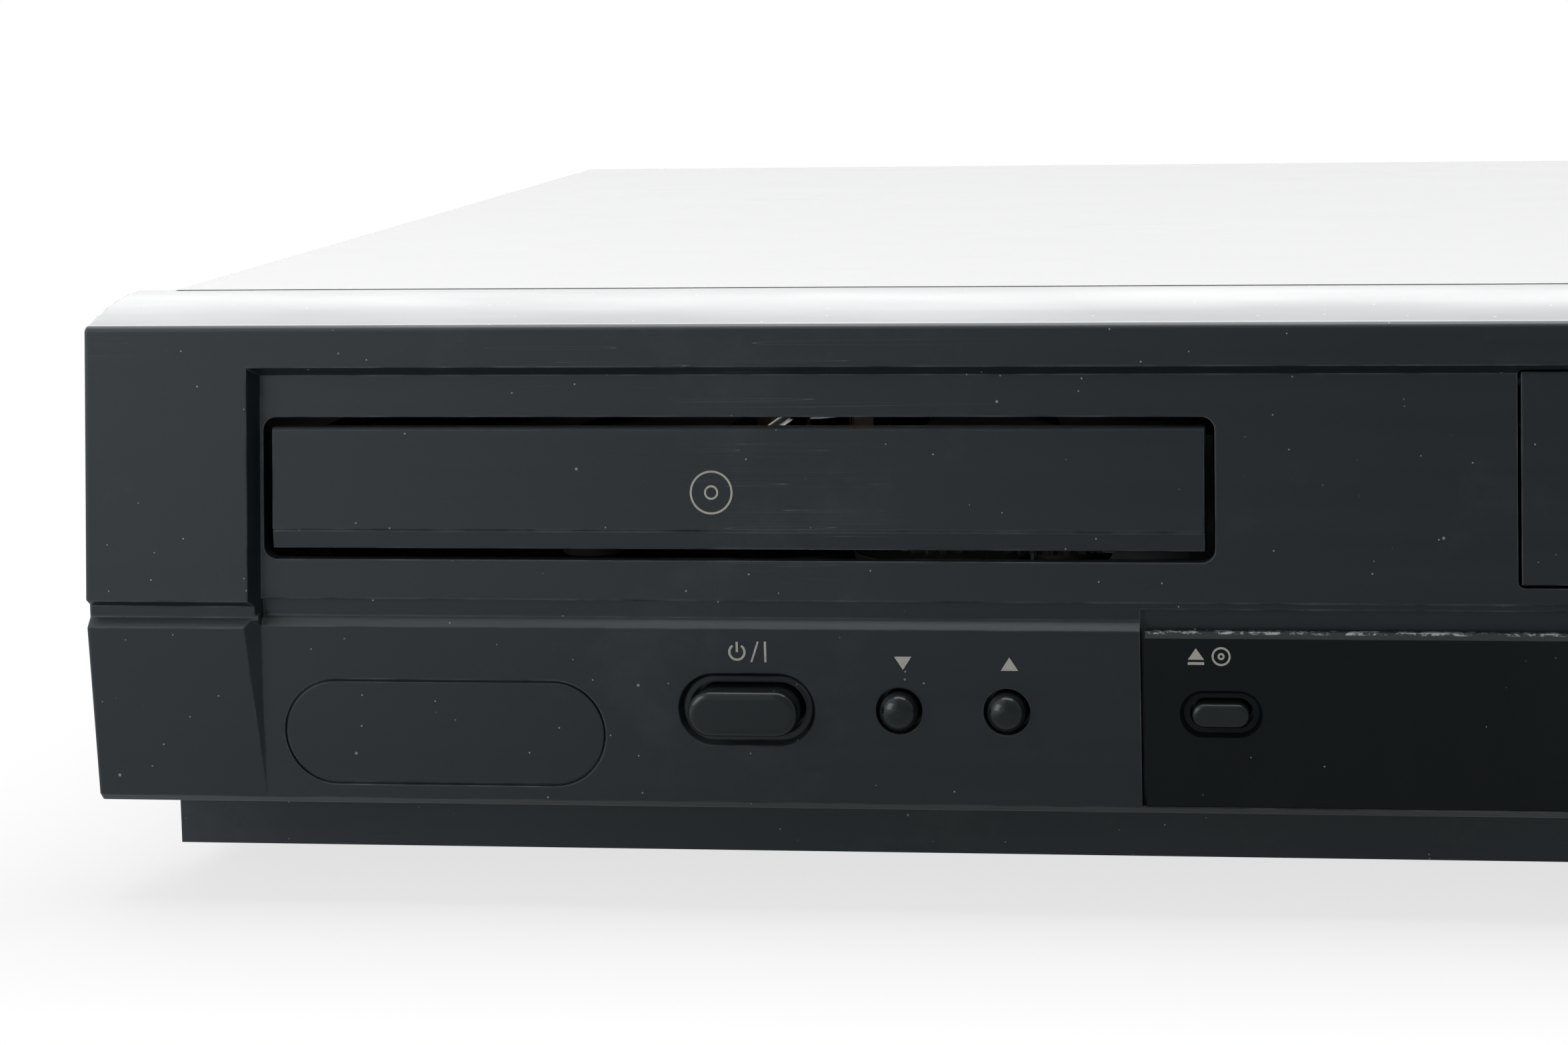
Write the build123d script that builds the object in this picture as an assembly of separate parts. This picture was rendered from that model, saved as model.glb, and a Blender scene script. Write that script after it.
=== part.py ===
from build123d import *

import os
from math import acos, asin, atan2, cos, degrees, hypot, pi, radians, sin, tan

# A disc player and cassette recorder in one cabinet. Millimetres, +Z up.
# The front faces -Y, +X is to the right seen from the front, and the rubber
# feet stand on Z = 0 under the middle of the cabinet.

# ---------------------------------------------------------------- cabinet
WIDTH = 435.0  # across the front moulding
FRONT = -144.0  # foremost line of the front moulding, beside the middle groove
JOIN = FRONT + 26.0  # where the front moulding ends and the cover starts
BACK = 145.5  # rear edge of the cover
COVER_HALF = 212.5  # cover and plinth are narrower than the front moulding
COVER_TOP = 91.6
SHEET = 0.8  # steel sheet of the cover
FOOT_H = 4.0
FOOT_X = (-180.0, 180.0)
FOOT_Y = (-92.0, 118.0)
BASE_HALF = 211.4  # outer faces of the base's side walls, inside the cover
BASE_WALL = 2.2
SIDE_SCREW_Z = 18.0
BACK_SCREW_X = (-190.0, 0.0, 190.0)
BACK_SCREW_Z = 87.2
PLINTH_Y = FRONT + 23.0  # front of the base below the moulding

# ---------------------------------------------------------------- front moulding
BLOCK_Z = 15.7  # underside of the moulding
SILL_Z = 16.7  # above the bevel along the underside
LOWER_TOP = 43.0  # where the lower half starts to chamfer into the groove
GROOVE_Z = (44.4, 47.0)
BROW_Z = 82.2  # top of the upper recess
TOP_EDGE_Z = 87.6
LEAN_DEG = 5.5  # the upper half leans back
LEAN = tan(radians(LEAN_DEG))
LOWER_LEAN = 2.3  # the pillars' lower half stands back by this much at the bottom
RECESS = 3.0  # depth of the upper recess
PANEL_Y = FRONT + 2.3  # face of the lower panel
WALL = 2.6
PILLAR_X = 190.9  # foot of the recess walls, left and right of the middle
INNER_Y = FRONT + 6.4  # back of the lower panel
GUSSET_X = (-205.0, -160.0, 186.0, 205.0)

WINDOW_HALF = 56.8
WINDOW_GAP = 0.7
WINDOW_T = 2.0
BADGE = (-162.9, 26.85, 49.7, 16.1)  # centre X, centre Z, width, height
CONTROL_Z = 30.8  # height of every control on the lower panel
POWER_X = -116.5
PROGRAM_X = (-93.5, -77.4)
EJECT_X = 45.7
TRANSPORT_X = (73.0, 90.0, 107.0, 124.0)
JACK_X = (145.0, 160.0, 175.0)
JACK_R = 4.15
BUTTON_TRAVEL = 1.0
STEM_END = -131.6  # a button's stem ends here, just off its switch
BOARD_Y = (-128.0, -126.4)

# ---------------------------------------------------------------- disc loader
TRAY_X = -118.4  # middle of the tray
TRAY_HALF = 66.0
TRAY_Y = (-136.4, 34.0)
TRAY_Z = (60.0, 68.5)
DISC_Y = -72.0
DISC_R = 60.7
DISC_SEAT_Z = 63.5
SMALL_DISC_R = 40.7
FLAP_HALF = 70.5
FLAP_Z = (54.7, 72.8)
FLAP_SEAM_Z = 57.4
TRAY_MOUTH_X = (-190.45, -46.4)
TRAY_MOUTH_Z = (53.0, 74.3)
TRAY_TRAVEL = 136.0
RAIL_Z = (61.0, 63.5)  # the rails along the tray's sides
RAIL_PLAY = 0.4
TRAY_RACK_TEETH = 46

LOADER_HALF = 67.0  # inner faces of the loader's side walls
LOADER_WALL = 3.5
LOADER_Y = (-124.0, 66.0)
LOADER_Z = (30.0, 69.6)
GEAR_DECK_Z = (40.0, 42.0)

MODULE = 1.0  # of the rack under the tray
DRIVE_TEETH = 24
TRAIN_MODULE = 0.8
WHEEL_TEETH = 32
PINION_TEETH = 16
RACK_X = -62.0  # pitch line of the tray's rack
GEAR_Y = -99.0
DRIVE_X = RACK_X - DRIVE_TEETH * MODULE / 2
PULLEY_X = DRIVE_X - (WHEEL_TEETH + PINION_TEETH) * TRAIN_MODULE / 2
LOADING_MOTOR_X = -150.0
PULLEY_R = 12.5  # floor of the belt groove
MOTOR_PULLEY_R = 3.6
BELT_T = 1.5
BELT_Z = (44.8, 46.3)

# ---------------------------------------------------------------- optical unit
HINGE_Y = 44.0  # the optical unit tips about this line
HINGE_Z = 47.0
TRAVERSE_Z = (46.0, 48.0)
TRAVERSE_X = (-183.0, -80.0)
TRAVERSE_Y = (-83.6, 50.0)
ROD_R = 1.5
ROD_OFFSET = 24.0
ROD_Z = 51.0
LENS_Y = -49.0
SLED_TRAVEL = 36.0
SLED_RACK_TEETH = 20
EAR_INSET = 8.0  # of the hinge ears from the optical unit's sides
FEED_TEETH = 12
FEED_WHEEL_TEETH = 30
FEED_RACK_X = TRAY_X - 34.4
FEED_X = FEED_RACK_X - FEED_TEETH * TRAIN_MODULE / 2
FEED_Y = -20.0
FEED_MOTOR_X = FEED_X - (FEED_WHEEL_TEETH + FEED_TEETH) * TRAIN_MODULE / 2
CLAMP_Z = (70.0, 71.2)

# ---------------------------------------------------------------- cassette deck
DECK_X = 94.0  # middle of the cassette
DOOR_X = (-1.9, 189.9)
DOOR_Z = (50.0, 80.8)
DOOR_MOUTH_X = (-2.4, 190.4)
DOOR_MOUTH_Z = (49.5, 81.3)
DOOR_PIVOT = (-134.8, 79.2)  # Y, Z
DOOR_STUB_R = 1.0
DECK_PLATE_Z = (22.0, 23.2)
DECK_Y = (-95.0, 112.0)
SIDE_Y = (-113.0, 62.0)
SIDE_INNER = 98.5  # from the deck's middle to a side plate's inner face
SIDE_T = 1.2
HOLDER_Y = (-105.0, -56.0)
HOLDER_HALF = 94.5  # inner faces of the cassette holder
HOLDER_Z = (49.3, 79.2)
HOLDER_T = 1.0
SLIDER_HALF = 96.4  # inner faces of the sliders
SLIDER_T = 1.2
CARRIAGE_TRAVEL = 84.0
CARRIAGE_TEETH = 20
CARRIAGE_RACK_TEETH = 38
CARRIAGE_RACK_LEAD = 17  # pitches from the rack's middle to the wheel at rest
CARRIAGE_GEAR_Y = -22.0
CARRIAGE_RACK_X = DECK_X + 100.6  # inner face of the rack on the right slider
CARRIAGE_RACK_Z = 68.5  # its pitch line
CARRIAGE_GEAR_Z = CARRIAGE_RACK_Z + CARRIAGE_TEETH * TRAIN_MODULE / 2
REEL_X = 46.0
REEL_Y = -26.0
DRUM_Y = 77.0
DRUM_R = 31.0
DRUM_TILT = 5.0
CAPSTAN = (DECK_X + 64.0, 44.0)
PINCH_PIVOT = (DECK_X + 82.0, 30.0)
PINCH = (DECK_X + 66.8, 29.5)
PINCH_R = 5.5
POST_START = (26.0, 24.0)  # from the deck's middle, and Y
POST_END = (47.0, 86.0)

# ---------------------------------------------------------------- rear
REAR_Y = (141.0, 142.0)
REAR_HALF = 210.0
BACK_FLANGE_Y = 142.9  # outer face of the flange that folds down over the back panel
SCART_X = (-66.5, -11.5)
SCART_Z = 26.0
PHONO_X = (36.0, 50.0, 64.0, 78.0, 92.0)
PHONO_Z = 26.0
TUNER_X = (140.0, 186.0)
AERIAL_X = (152.0, 174.0)
AERIAL_Z = 30.0
INLET_X = -185.0
INLET_Z = 30.0
BOARD_Z = (12.0, 13.6)


# ---------------------------------------------------------------- helpers
def span(x0, x1, y0, y1, z0, z1):
    """Box between two corners."""
    middle = Pos((x0 + x1) / 2, (y0 + y1) / 2, (z0 + z1) / 2)
    return middle * Box(abs(x1 - x0), abs(y1 - y0), abs(z1 - z0))


def upright(x, y, z0, z1, r):
    """Cylinder along Z."""
    return Pos(x, y, (z0 + z1) / 2) * Cylinder(r, z1 - z0)


def level(x, z, y0, y1, r):
    """Cylinder along Y."""
    return Pos(x, (y0 + y1) / 2, z) * Rot(X=90) * Cylinder(r, y1 - y0)


def across(y, z, x0, x1, r):
    """Cylinder along X."""
    return Pos((x0 + x1) / 2, y, z) * Rot(Y=90) * Cylinder(r, x1 - x0)


def facing(y, sketch, depth, taper=0.0):
    """A sketch of X and Z, extruded from Y = y towards +Y."""
    plane = Plane(origin=(0, y, 0), x_dir=(-1, 0, 0), z_dir=(0, 1, 0))
    mirrored = mirror(sketch, Plane.YZ)
    return extrude(plane * mirrored, amount=depth, taper=taper)


def profile_x(x0, x1, *points):
    """A closed outline of (Y, Z) points, extruded along X."""
    outline = make_face(Polyline(*points, close=True))
    return extrude(Plane.YZ.offset(x0) * outline, amount=x1 - x0)


def plate(z0, z1, *points):
    """A closed outline of (X, Y) points, extruded along Z."""
    outline = make_face(Polyline(*points, close=True))
    return Pos(0, 0, z0) * extrude(outline, amount=z1 - z0)


def turned(*points):
    """Solid of revolution about Z from (radius, height) points."""
    return revolve(Plane.XZ * make_face(Polyline(*points, close=True)), Axis.Z)


def pill(width, height):
    """Slot outline with round ends."""
    return SlotOverall(width, height)


def in_mesh_thickness(teeth, module, radius, play):
    """Half the angle that an involute tooth fills at a radius, with some play."""
    pitch_r = teeth * module / 2
    base_r = pitch_r * cos(radians(20))
    at_pitch = pi / (2 * teeth) - play / (2 * pitch_r)
    if radius <= base_r:
        angle = 0.0
    else:
        angle = acos(base_r / radius)
    swing = tan(radians(20)) - radians(20) - (tan(angle) - angle)
    return at_pitch + swing


def spur(teeth, module, height, turn=0.0, play=0.2):
    """Toothed wheel about Z on Z = 0, with a tooth on +X when turn is 0."""
    pitch_r = teeth * module / 2
    root_r = pitch_r - 1.2 * module
    tip_r = pitch_r + 0.9 * module
    base_r = max(root_r, pitch_r * cos(radians(20)))
    flank = [root_r, base_r, pitch_r + 0.2 * module, tip_r]
    if base_r - root_r < 0.05:
        flank = flank[1:]
    points = []
    for tooth in range(teeth):
        middle = 2 * pi * tooth / teeth + radians(turn)
        rise = [(r, middle - in_mesh_thickness(teeth, module, r, play)) for r in flank]
        fall = [(r, 2 * middle - angle) for r, angle in reversed(rise)]
        points += [(r * cos(a), r * sin(a)) for r, a in rise + fall]
    return extrude(make_face(Polyline(*points, close=True)), amount=height)


def rack(teeth, module, height, depth, play=0.2):
    """Toothed bar along Y on Z = 0. Its pitch line is X = 0, the teeth face -X, and a gap
    lies on Y = 0 with half of the teeth on each side."""
    pitch = pi * module
    half = pitch / 4 - play / 4
    slope = tan(radians(20)) * module
    root, tip = 1.2 * module, -0.9 * module
    first = -teeth * pitch / 2
    points = [(depth, first), (root, first)]
    for tooth in range(teeth):
        middle = first + (tooth + 0.5) * pitch
        points += [
            (root, middle - half - 1.2 * slope),
            (tip, middle - half + 0.9 * slope),
            (tip, middle + half - 0.9 * slope),
            (root, middle + half + 1.2 * slope),
        ]
    points += [(root, -first), (depth, -first)]
    return extrude(make_face(Polyline(*points, close=True)), amount=height)


def face_y(z):
    """Y of the leaning upper face, on the pillars and the brow, at height z."""
    return FRONT + (z - GROOVE_Z[1]) * LEAN


def recess_y(z):
    """Y of the floor of the upper recess at height z."""
    return face_y(z) + RECESS


def save(node, shape):
    export_step(shape, f"parts/{node}.step")


# ---------------------------------------------------------------- casing
def bezel_outline():
    """Side view of the front moulding: leaning upper half, groove, lower half, and the
    convex band that rises from the top edge to the cover."""
    top_front = (face_y(TOP_EDGE_Z), TOP_EDGE_Z)
    band_front = (FRONT + 5.4, 88.4)
    band_back = (JOIN, COVER_TOP - 0.1)
    lower = Polyline(
        (JOIN, BLOCK_Z),
        (FRONT + LOWER_LEAN + SILL_Z - BLOCK_Z, BLOCK_Z),
        (FRONT + LOWER_LEAN, SILL_Z),
        (FRONT, LOWER_TOP),
        (FRONT + GROOVE_Z[0] - LOWER_TOP, GROOVE_Z[0]),
        (FRONT + GROOVE_Z[0] - LOWER_TOP, GROOVE_Z[1] - 0.9),
        (FRONT, GROOVE_Z[1]),
        top_front,
    )
    corner = ThreePointArc(top_front, (FRONT + 4.3, 88.15), band_front)
    band = ThreePointArc(band_front, (FRONT + 14.5, 90.55), band_back)
    rear = Line(band_back, (JOIN, BLOCK_Z))
    return Plane.YZ * make_face(Curve() + [lower, corner, band, rear])


def bezel_hollow():
    """The space inside the front moulding, open at the back."""
    half = WIDTH / 2 - WALL
    return profile_x(
        -half,
        half,
        (JOIN + 1, BLOCK_Z + WALL),
        (INNER_Y, BLOCK_Z + WALL),
        (INNER_Y, GROOVE_Z[0] + 1),
        (recess_y(GROOVE_Z[1]) + WALL, GROOVE_Z[1] + 1),
        (recess_y(84.5) + WALL, 84.5),
        (FRONT + 15.0, 87.6),
        (JOIN + 1, COVER_TOP - 2.8),
    )


def upper_recess():
    """Cutter for the upper recess, wider at its mouth."""
    slope = cos(radians(LEAN_DEG))
    bottom, top = GROOVE_Z[0] + 0.6, BROW_Z - 1.6
    origin = (0, recess_y((bottom + top) / 2), (bottom + top) / 2)
    plane = Plane(origin=origin, x_dir=(1, 0, 0), z_dir=(0, -slope, sin(radians(LEAN_DEG))))
    floor = Rectangle(2 * PILLAR_X, (top - bottom) / slope)
    return extrude(plane * floor, amount=6.0, taper=-22)


def lower_recess():
    """Cutter that sets the lower panel back between the pillars."""
    bottom, top = BLOCK_Z - 6.0, LOWER_TOP
    sketch = Pos(0, (bottom + top) / 2) * Rectangle(2 * PILLAR_X, top - bottom)
    plane = Plane(origin=(0, PANEL_Y, 0), x_dir=(1, 0, 0), z_dir=(0, -1, 0))
    return extrude(plane * sketch, amount=6.0, taper=-40)


def panel_groove():
    """Cutter for the groove between the upper recess and the lower panel."""
    return profile_x(
        -PILLAR_X,
        PILLAR_X,
        (FRONT - 2, LOWER_TOP),
        (PANEL_Y, LOWER_TOP),
        (PANEL_Y + GROOVE_Z[0] - LOWER_TOP, GROOVE_Z[0]),
        (PANEL_Y + GROOVE_Z[0] - LOWER_TOP, GROOVE_Z[1]),
        (FRONT - 2, GROOVE_Z[1] + 0.5),
    )


def mouth(xs, zs, radius):
    """Cutter for an opening in the upper recess."""
    width, height = xs[1] - xs[0], zs[1] - zs[0]
    middle = Pos((xs[0] + xs[1]) / 2, (zs[0] + zs[1]) / 2)
    return facing(FRONT - 1, middle * RectangleRounded(width, height, radius), 14.0)


def dish(x, z, width, height, depth, surface):
    """Cutter for the shallow hollow around a button."""
    sketch = Pos(x, z) * pill(width, height)
    return facing(surface, sketch, depth, taper=30)


def panel_holes():
    """Cutters for the buttons, the badge, the window and the sockets of the lower panel."""
    through = INNER_Y - PANEL_Y + 2.0
    power = Pos(POWER_X, CONTROL_Z) * pill(17.6, 7.9)
    cutters = [dish(POWER_X, CONTROL_Z, 20.8, 11.0, 1.2, PANEL_Y)]
    cutters.append(facing(PANEL_Y - 0.5, power, through))
    for x in PROGRAM_X:
        cutters.append(level(x, CONTROL_Z, PANEL_Y - 0.5, INNER_Y + 1, 3.5))
    for x in TRANSPORT_X:
        key = Pos(x, CONTROL_Z) * pill(13.0, 6.0)
        cutters.append(facing(PANEL_Y - 0.5, key, through))
    for x in JACK_X:
        cutters.append(level(x, CONTROL_Z, PANEL_Y - 0.5, INNER_Y + 1, 6.0))
    for x in (-EJECT_X, EJECT_X):
        eject = Pos(x, CONTROL_Z) * pill(9.5, 4.6)
        cutters.append(facing(PANEL_Y - 0.5, eject, through))
    badge = Pos(BADGE[0], BADGE[1]) * pill(BADGE[2], BADGE[3])
    cutters.append(facing(PANEL_Y - 0.5, badge, 1.1))
    pocket = WINDOW_HALF + WINDOW_GAP
    cutters.append(
        span(-pocket, pocket, PANEL_Y - 0.5, PANEL_Y + WINDOW_T + 0.2, SILL_Z + 0.2, LOWER_TOP + 3)
    )
    cutters.append(span(-34, 34, PANEL_Y, INNER_Y + 1, 21, 39.5))
    return cutters


def door_reliefs():
    """Thinner wall behind the ends of the cassette mouth, for the hinge and its spring."""
    y0 = recess_y(DOOR_PIVOT[1]) + 1.1
    left = span(DOOR_MOUTH_X[0] - 8, DOOR_MOUTH_X[0] + 0.1, y0, JOIN, 75.5, 82.6)
    return left + mirror(left, Plane.YZ.offset(DECK_X))


def door_lugs():
    """Drilled lugs that the door's hinge stubs turn in."""
    y, z = DOOR_PIVOT
    x0, x1 = DOOR_MOUTH_X[0] - 6.0, DOOR_MOUTH_X[0] - 4.0
    lug = span(x0, x1, y - 2.4, y + 2.2, z - 2.2, 83.4) - across(y, z, x0 - 1, x1 + 1, DOOR_STUB_R + 0.08)
    return lug + mirror(lug, Plane.YZ.offset(DECK_X))


def rounded_blank():
    """The front moulding before it is cut, with its two ends rounded along the front."""
    blank = extrude(bezel_outline(), amount=WIDTH / 2, both=True)
    ends = blank.edges().filter_by(lambda e: abs(e.center().X) > WIDTH / 2 - 0.1)
    front = ends.filter_by(lambda e: e.center().Y < JOIN - 5 and e.center().Z > BLOCK_Z + 0.1)
    return fillet(front, 0.6)


def front_bezel():
    """Front moulding with its recesses, mouths, button holes, lugs and gussets."""
    body = rounded_blank() - bezel_hollow() - upper_recess() - lower_recess() - panel_groove()
    body -= mouth(TRAY_MOUTH_X, TRAY_MOUTH_Z, 2.0)
    body -= mouth(DOOR_MOUTH_X, DOOR_MOUTH_Z, 1.0)
    for cutter in panel_holes():
        body -= cutter
    body = body - door_reliefs() + door_lugs()
    for side in (-1, 1):
        lip = sorted((side * (COVER_HALF - 0.8), side * (WIDTH / 2 - WALL + 0.4)))
        body += span(lip[0], lip[1], JOIN - 2, JOIN, BLOCK_Z + 1, COVER_TOP - 2.4)
    for x in GUSSET_X:
        body += profile_x(
            x - 0.8,
            x + 0.8,
            (INNER_Y - 0.5, BLOCK_Z + WALL - 0.5),
            (JOIN - 2, BLOCK_Z + WALL - 0.5),
            (JOIN - 2, BLOCK_Z + WALL + 1.5),
            (INNER_Y - 0.5, BLOCK_Z + WALL + 7.0),
        )
    return body


def badge_plate():
    sketch = Pos(BADGE[0], BADGE[1]) * pill(BADGE[2] - 0.7, BADGE[3] - 0.7)
    return facing(PANEL_Y + 0.05, sketch, 0.5)


def display_window():
    width = 2 * WINDOW_HALF
    plate_body = span(
        -WINDOW_HALF, WINDOW_HALF, PANEL_Y - 0.1, PANEL_Y + WINDOW_T, SILL_Z + 0.3, LOWER_TOP - 0.1
    )
    top_edge = plate_body.edges().filter_by(Axis.X).sort_by(lambda e: e.center().Z - e.center().Y)[-1]
    body = chamfer(top_edge, 0.9)
    for x in (-EJECT_X, EJECT_X):
        body -= dish(x, CONTROL_Z, 12.2, 7.0, 1.0, PANEL_Y - 0.1)
        body -= facing(PANEL_Y - 1, Pos(x, CONTROL_Z) * pill(9.4, 4.5), 4.0)
    return body


def chassis_base():
    """Shallow moulded tray that carries everything, with the plinth along its front."""
    floor_z, lip_z = FOOT_H, BLOCK_Z - 0.2
    inside = BASE_HALF - BASE_WALL
    outer = span(-COVER_HALF, COVER_HALF, PLINTH_Y, JOIN, floor_z, lip_z)
    outer += span(-BASE_HALF, BASE_HALF, JOIN - 1, REAR_Y[0] - 0.3, floor_z, lip_z)
    outer += span(-BASE_HALF, BASE_HALF, JOIN + 0.2, REAR_Y[0] - 0.3, floor_z, 26.0)
    hollow = span(-inside, inside, JOIN + 1.8, REAR_Y[0] - 2.5, floor_z + 2.0, 30.0)
    hollow += span(-inside, inside, PLINTH_Y + BASE_WALL, JOIN + 2.0, floor_z + 2.0, 30.0)
    body = outer - hollow
    body -= span(-inside, inside, REAR_Y[0] - 3, REAR_Y[0], floor_z + 6.5, 30.0)
    for side, y in cover_screw_sides():
        x = side * BASE_HALF
        body -= across(y, SIDE_SCREW_Z, x - 3, x + 3, 1.5)
    for x in (-LOADER_HALF - 8, LOADER_HALF + 8):
        for y in (LOADER_Y[0] + 14, LOADER_Y[1] - 8):
            body += upright(TRAY_X + x, y, floor_z + 1, LOADER_Z[0] - 0.05, 4.0)
    for x in (-SIDE_INNER + 6, SIDE_INNER - 6):
        for y in (DECK_Y[0] + 6, DECK_Y[1] - 6):
            body += upright(DECK_X + x, y, floor_z + 1, DECK_PLATE_Z[0] - 0.05, 4.0)
    slot = Pos(0, 0, floor_z + 1) * extrude(Rot(Z=90) * pill(34, 3.0), amount=4, both=True)
    for column in range(9):
        body -= Pos(DECK_X - 80 + 20 * column, -40, 0) * slot
        body -= Pos(-190 + 12 * column, 105, 0) * slot
    for x in (-60.0, 0.0):
        body += span(x - 0.8, x + 0.8, JOIN + 1.5, REAR_Y[0] - 2.4, floor_z + 1, floor_z + 6)
    return body


def feet_places():
    return [(x, y) for x in FOOT_X for y in FOOT_Y]


def rubber_feet():
    foot = turned((0, 0), (8.5, 0), (10, 1.2), (10, FOOT_H - 0.02), (0, FOOT_H - 0.02))
    return Compound(children=[Pos(x, y) * foot for x, y in feet_places()])


def cover_screw_sides():
    """Side and Y of each screw in the sides of the cover."""
    return [(side, y) for side in (-1, 1) for y in (-80.0, 90.0)]


def top_cover():
    """Folded steel lid: top, two sides, and a short flange down the back."""
    outer = Pos(0, (COVER_TOP + 8) / 2) * Rectangle(2 * COVER_HALF, COVER_TOP - 8)
    outer = fillet(outer.vertices().group_by(Axis.Y)[-1], 2.0)
    inner = Pos(0, (COVER_TOP - SHEET) / 2) * Rectangle(2 * (COVER_HALF - SHEET), COVER_TOP - SHEET)
    inner = fillet(inner.vertices().group_by(Axis.Y)[-1], 1.2)
    body = facing(JOIN + 0.15, outer - inner, BACK - JOIN - 0.15)
    body += span(-207, 207, BACK_FLANGE_Y - SHEET, BACK_FLANGE_Y, COVER_TOP - 7.0, COVER_TOP - SHEET / 2)
    vent = extrude(Plane.YZ * Rot(Z=90) * pill(16, 2.6), amount=3, both=True)
    for side in (-1, 1):
        for row in (44.0, 64.0):
            for column in range(9):
                body -= Pos(side * COVER_HALF, 30 + 11 * column, row) * vent
    for side, y in cover_screw_sides():
        x = side * COVER_HALF
        body -= across(y, SIDE_SCREW_Z, x - 2, x + 2, 1.6)
    for x in BACK_SCREW_X:
        body -= level(x, BACK_SCREW_Z, BACK_FLANGE_Y - 2, BACK + 1, 1.6)
    return body


def cover_screws():
    """Pan heads with short shanks: two in each side and three along the back."""
    screw = turned((0, -6), (1.4, -6), (1.4, 0.02), (3.2, 0.02), (3.2, 0.8), (2.2, 1.7), (0, 1.9))
    placed = []
    for side, y in cover_screw_sides():
        placed.append(Pos(side * COVER_HALF, y, SIDE_SCREW_Z) * Rot(Y=side * 90) * screw)
    for x in BACK_SCREW_X:
        placed.append(Pos(x, BACK_FLANGE_Y, BACK_SCREW_Z) * Rot(X=-90) * screw)
    return Compound(children=placed)


def rear_panel():
    """Plated sheet with the cut-outs for every socket and a row of upright vents."""
    body = span(-REAR_HALF, REAR_HALF, REAR_Y[0], REAR_Y[1], FOOT_H + 2.5, COVER_TOP - SHEET - 0.4)
    for x in SCART_X:
        body -= span(x - 24, x + 24, 140, 146, SCART_Z - 8, SCART_Z + 8)
    for x in PHONO_X:
        body -= level(x, PHONO_Z, 140, 146, 6.4)
    for x in AERIAL_X:
        body -= level(x, AERIAL_Z, 140, 146, 6.2)
    body -= span(INLET_X - 12.2, INLET_X + 12.2, 140, 146, INLET_Z - 7.2, INLET_Z + 7.2)
    for x in BACK_SCREW_X:
        body -= level(x, BACK_SCREW_Z, 140, 146, 1.5)
    slot = facing(140, Rot(Z=90) * pill(22.0, 3.0), 6)
    for column in range(14):
        body -= Pos(-190 + 8 * column, 0, 62) * slot
    return body


# ---------------------------------------------------------------- boards and sockets
def control_board():
    """Front board with the switches behind the buttons and the display tube."""
    body = [span(-132, 134, BOARD_Y[0], BOARD_Y[1], 20.0, 40.0)]
    places = [POWER_X, *PROGRAM_X, -EJECT_X, EJECT_X, *TRANSPORT_X]
    for x in places:
        switch = span(x - 3, x + 3, BOARD_Y[0] - 1.6, BOARD_Y[0], CONTROL_Z - 3, CONTROL_Z + 3)
        body.append(switch + level(x, CONTROL_Z, STEM_END + BUTTON_TRAVEL + 0.2, BOARD_Y[0] - 1, 1.6))
    tube = span(-32, 32, BOARD_Y[0] - 5.5, BOARD_Y[0] - 0.1, 22.5, 38.5)
    body.append(fillet(tube.edges().filter_by(Axis.X), 1.0))
    return Compound(children=body)


def main_board():
    """L-shaped board behind the loader and along the back, with its large chips."""
    z0, z1 = BOARD_Z
    outline = [(-104, 72), (-14, 72), (-14, 117), (204, 117), (204, 140), (-104, 140)]
    parts = [plate(z0, z1, *outline)]
    for x, y, a, b in ((-60, 96, 24, 24), (-84, 84, 14, 10), (-34, 88, 12, 18), (110, 128, 16, 10)):
        parts.append(span(x - a / 2, x + a / 2, y - b / 2, y + b / 2, z1 + 0.05, z1 + 2.0))
    for x, y in ((-96, 104), (-96, 116), (-24, 108), (124, 132)):
        parts.append(upright(x, y, z1 + 0.05, z1 + 11, 4.0))
    return Compound(children=parts)


def power_board():
    """Power board with transformer, reservoir capacitors and a finned heat sink."""
    z0, z1 = BOARD_Z
    parts = [span(-204, -110, 72, 138, z0, z1)]
    core = span(-196, -164, 78, 104, z1 + 0.05, z1 + 24)
    winding = span(-191, -169, 75, 107, z1 + 4, z1 + 20)
    parts.append(core + winding)
    for x, r, h in ((-150, 9.0, 30.0), (-150, 6.0, 22.0), (-122, 5.0, 18.0)):
        y = 88.0 if r != 6.0 else 112.0
        parts.append(upright(x, y, z1 + 0.05, z1 + h, r))
    sink = span(-136, -132, 84, 130, z1 + 0.05, z1 + 34)
    for fin in range(6):
        sink += span(-133, -124, 85 + 8 * fin, 86.6 + 8 * fin, z1 + 2, z1 + 34)
    parts.append(sink)
    return Compound(children=parts)


def tuner_module():
    """Screened tuner box with its aerial input and output through the back panel."""
    face = REAR_Y[0] - 0.2
    body = span(TUNER_X[0], TUNER_X[1], 119, face, BOARD_Z[1] + 0.05, 42)
    for x in AERIAL_X:
        barrel = level(x, AERIAL_Z, face - 0.5, BACK - 0.1, 4.7)
        body += level(x, AERIAL_Z, face - 0.5, face + 2.0, 5.8) + barrel
        body -= level(x, AERIAL_Z, face - 3, BACK + 1, 3.6)
    return body


def scart_sockets():
    """Two wide sockets with a slanted shell round a contact block."""
    sockets = []
    for x in SCART_X:
        outline = make_face(
            Polyline((-23.5, -7.5), (23.5, -7.5), (23.5, 3.5), (19.5, 7.5), (-23.5, 7.5), close=True)
        )
        inner = offset(outline, -1.6)
        shell = facing(128, Pos(x, SCART_Z) * outline, BACK - 0.2 - 128)
        shell -= facing(133, Pos(x, SCART_Z) * inner, 20)
        sockets.append(shell)
    return Compound(children=sockets)


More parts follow.
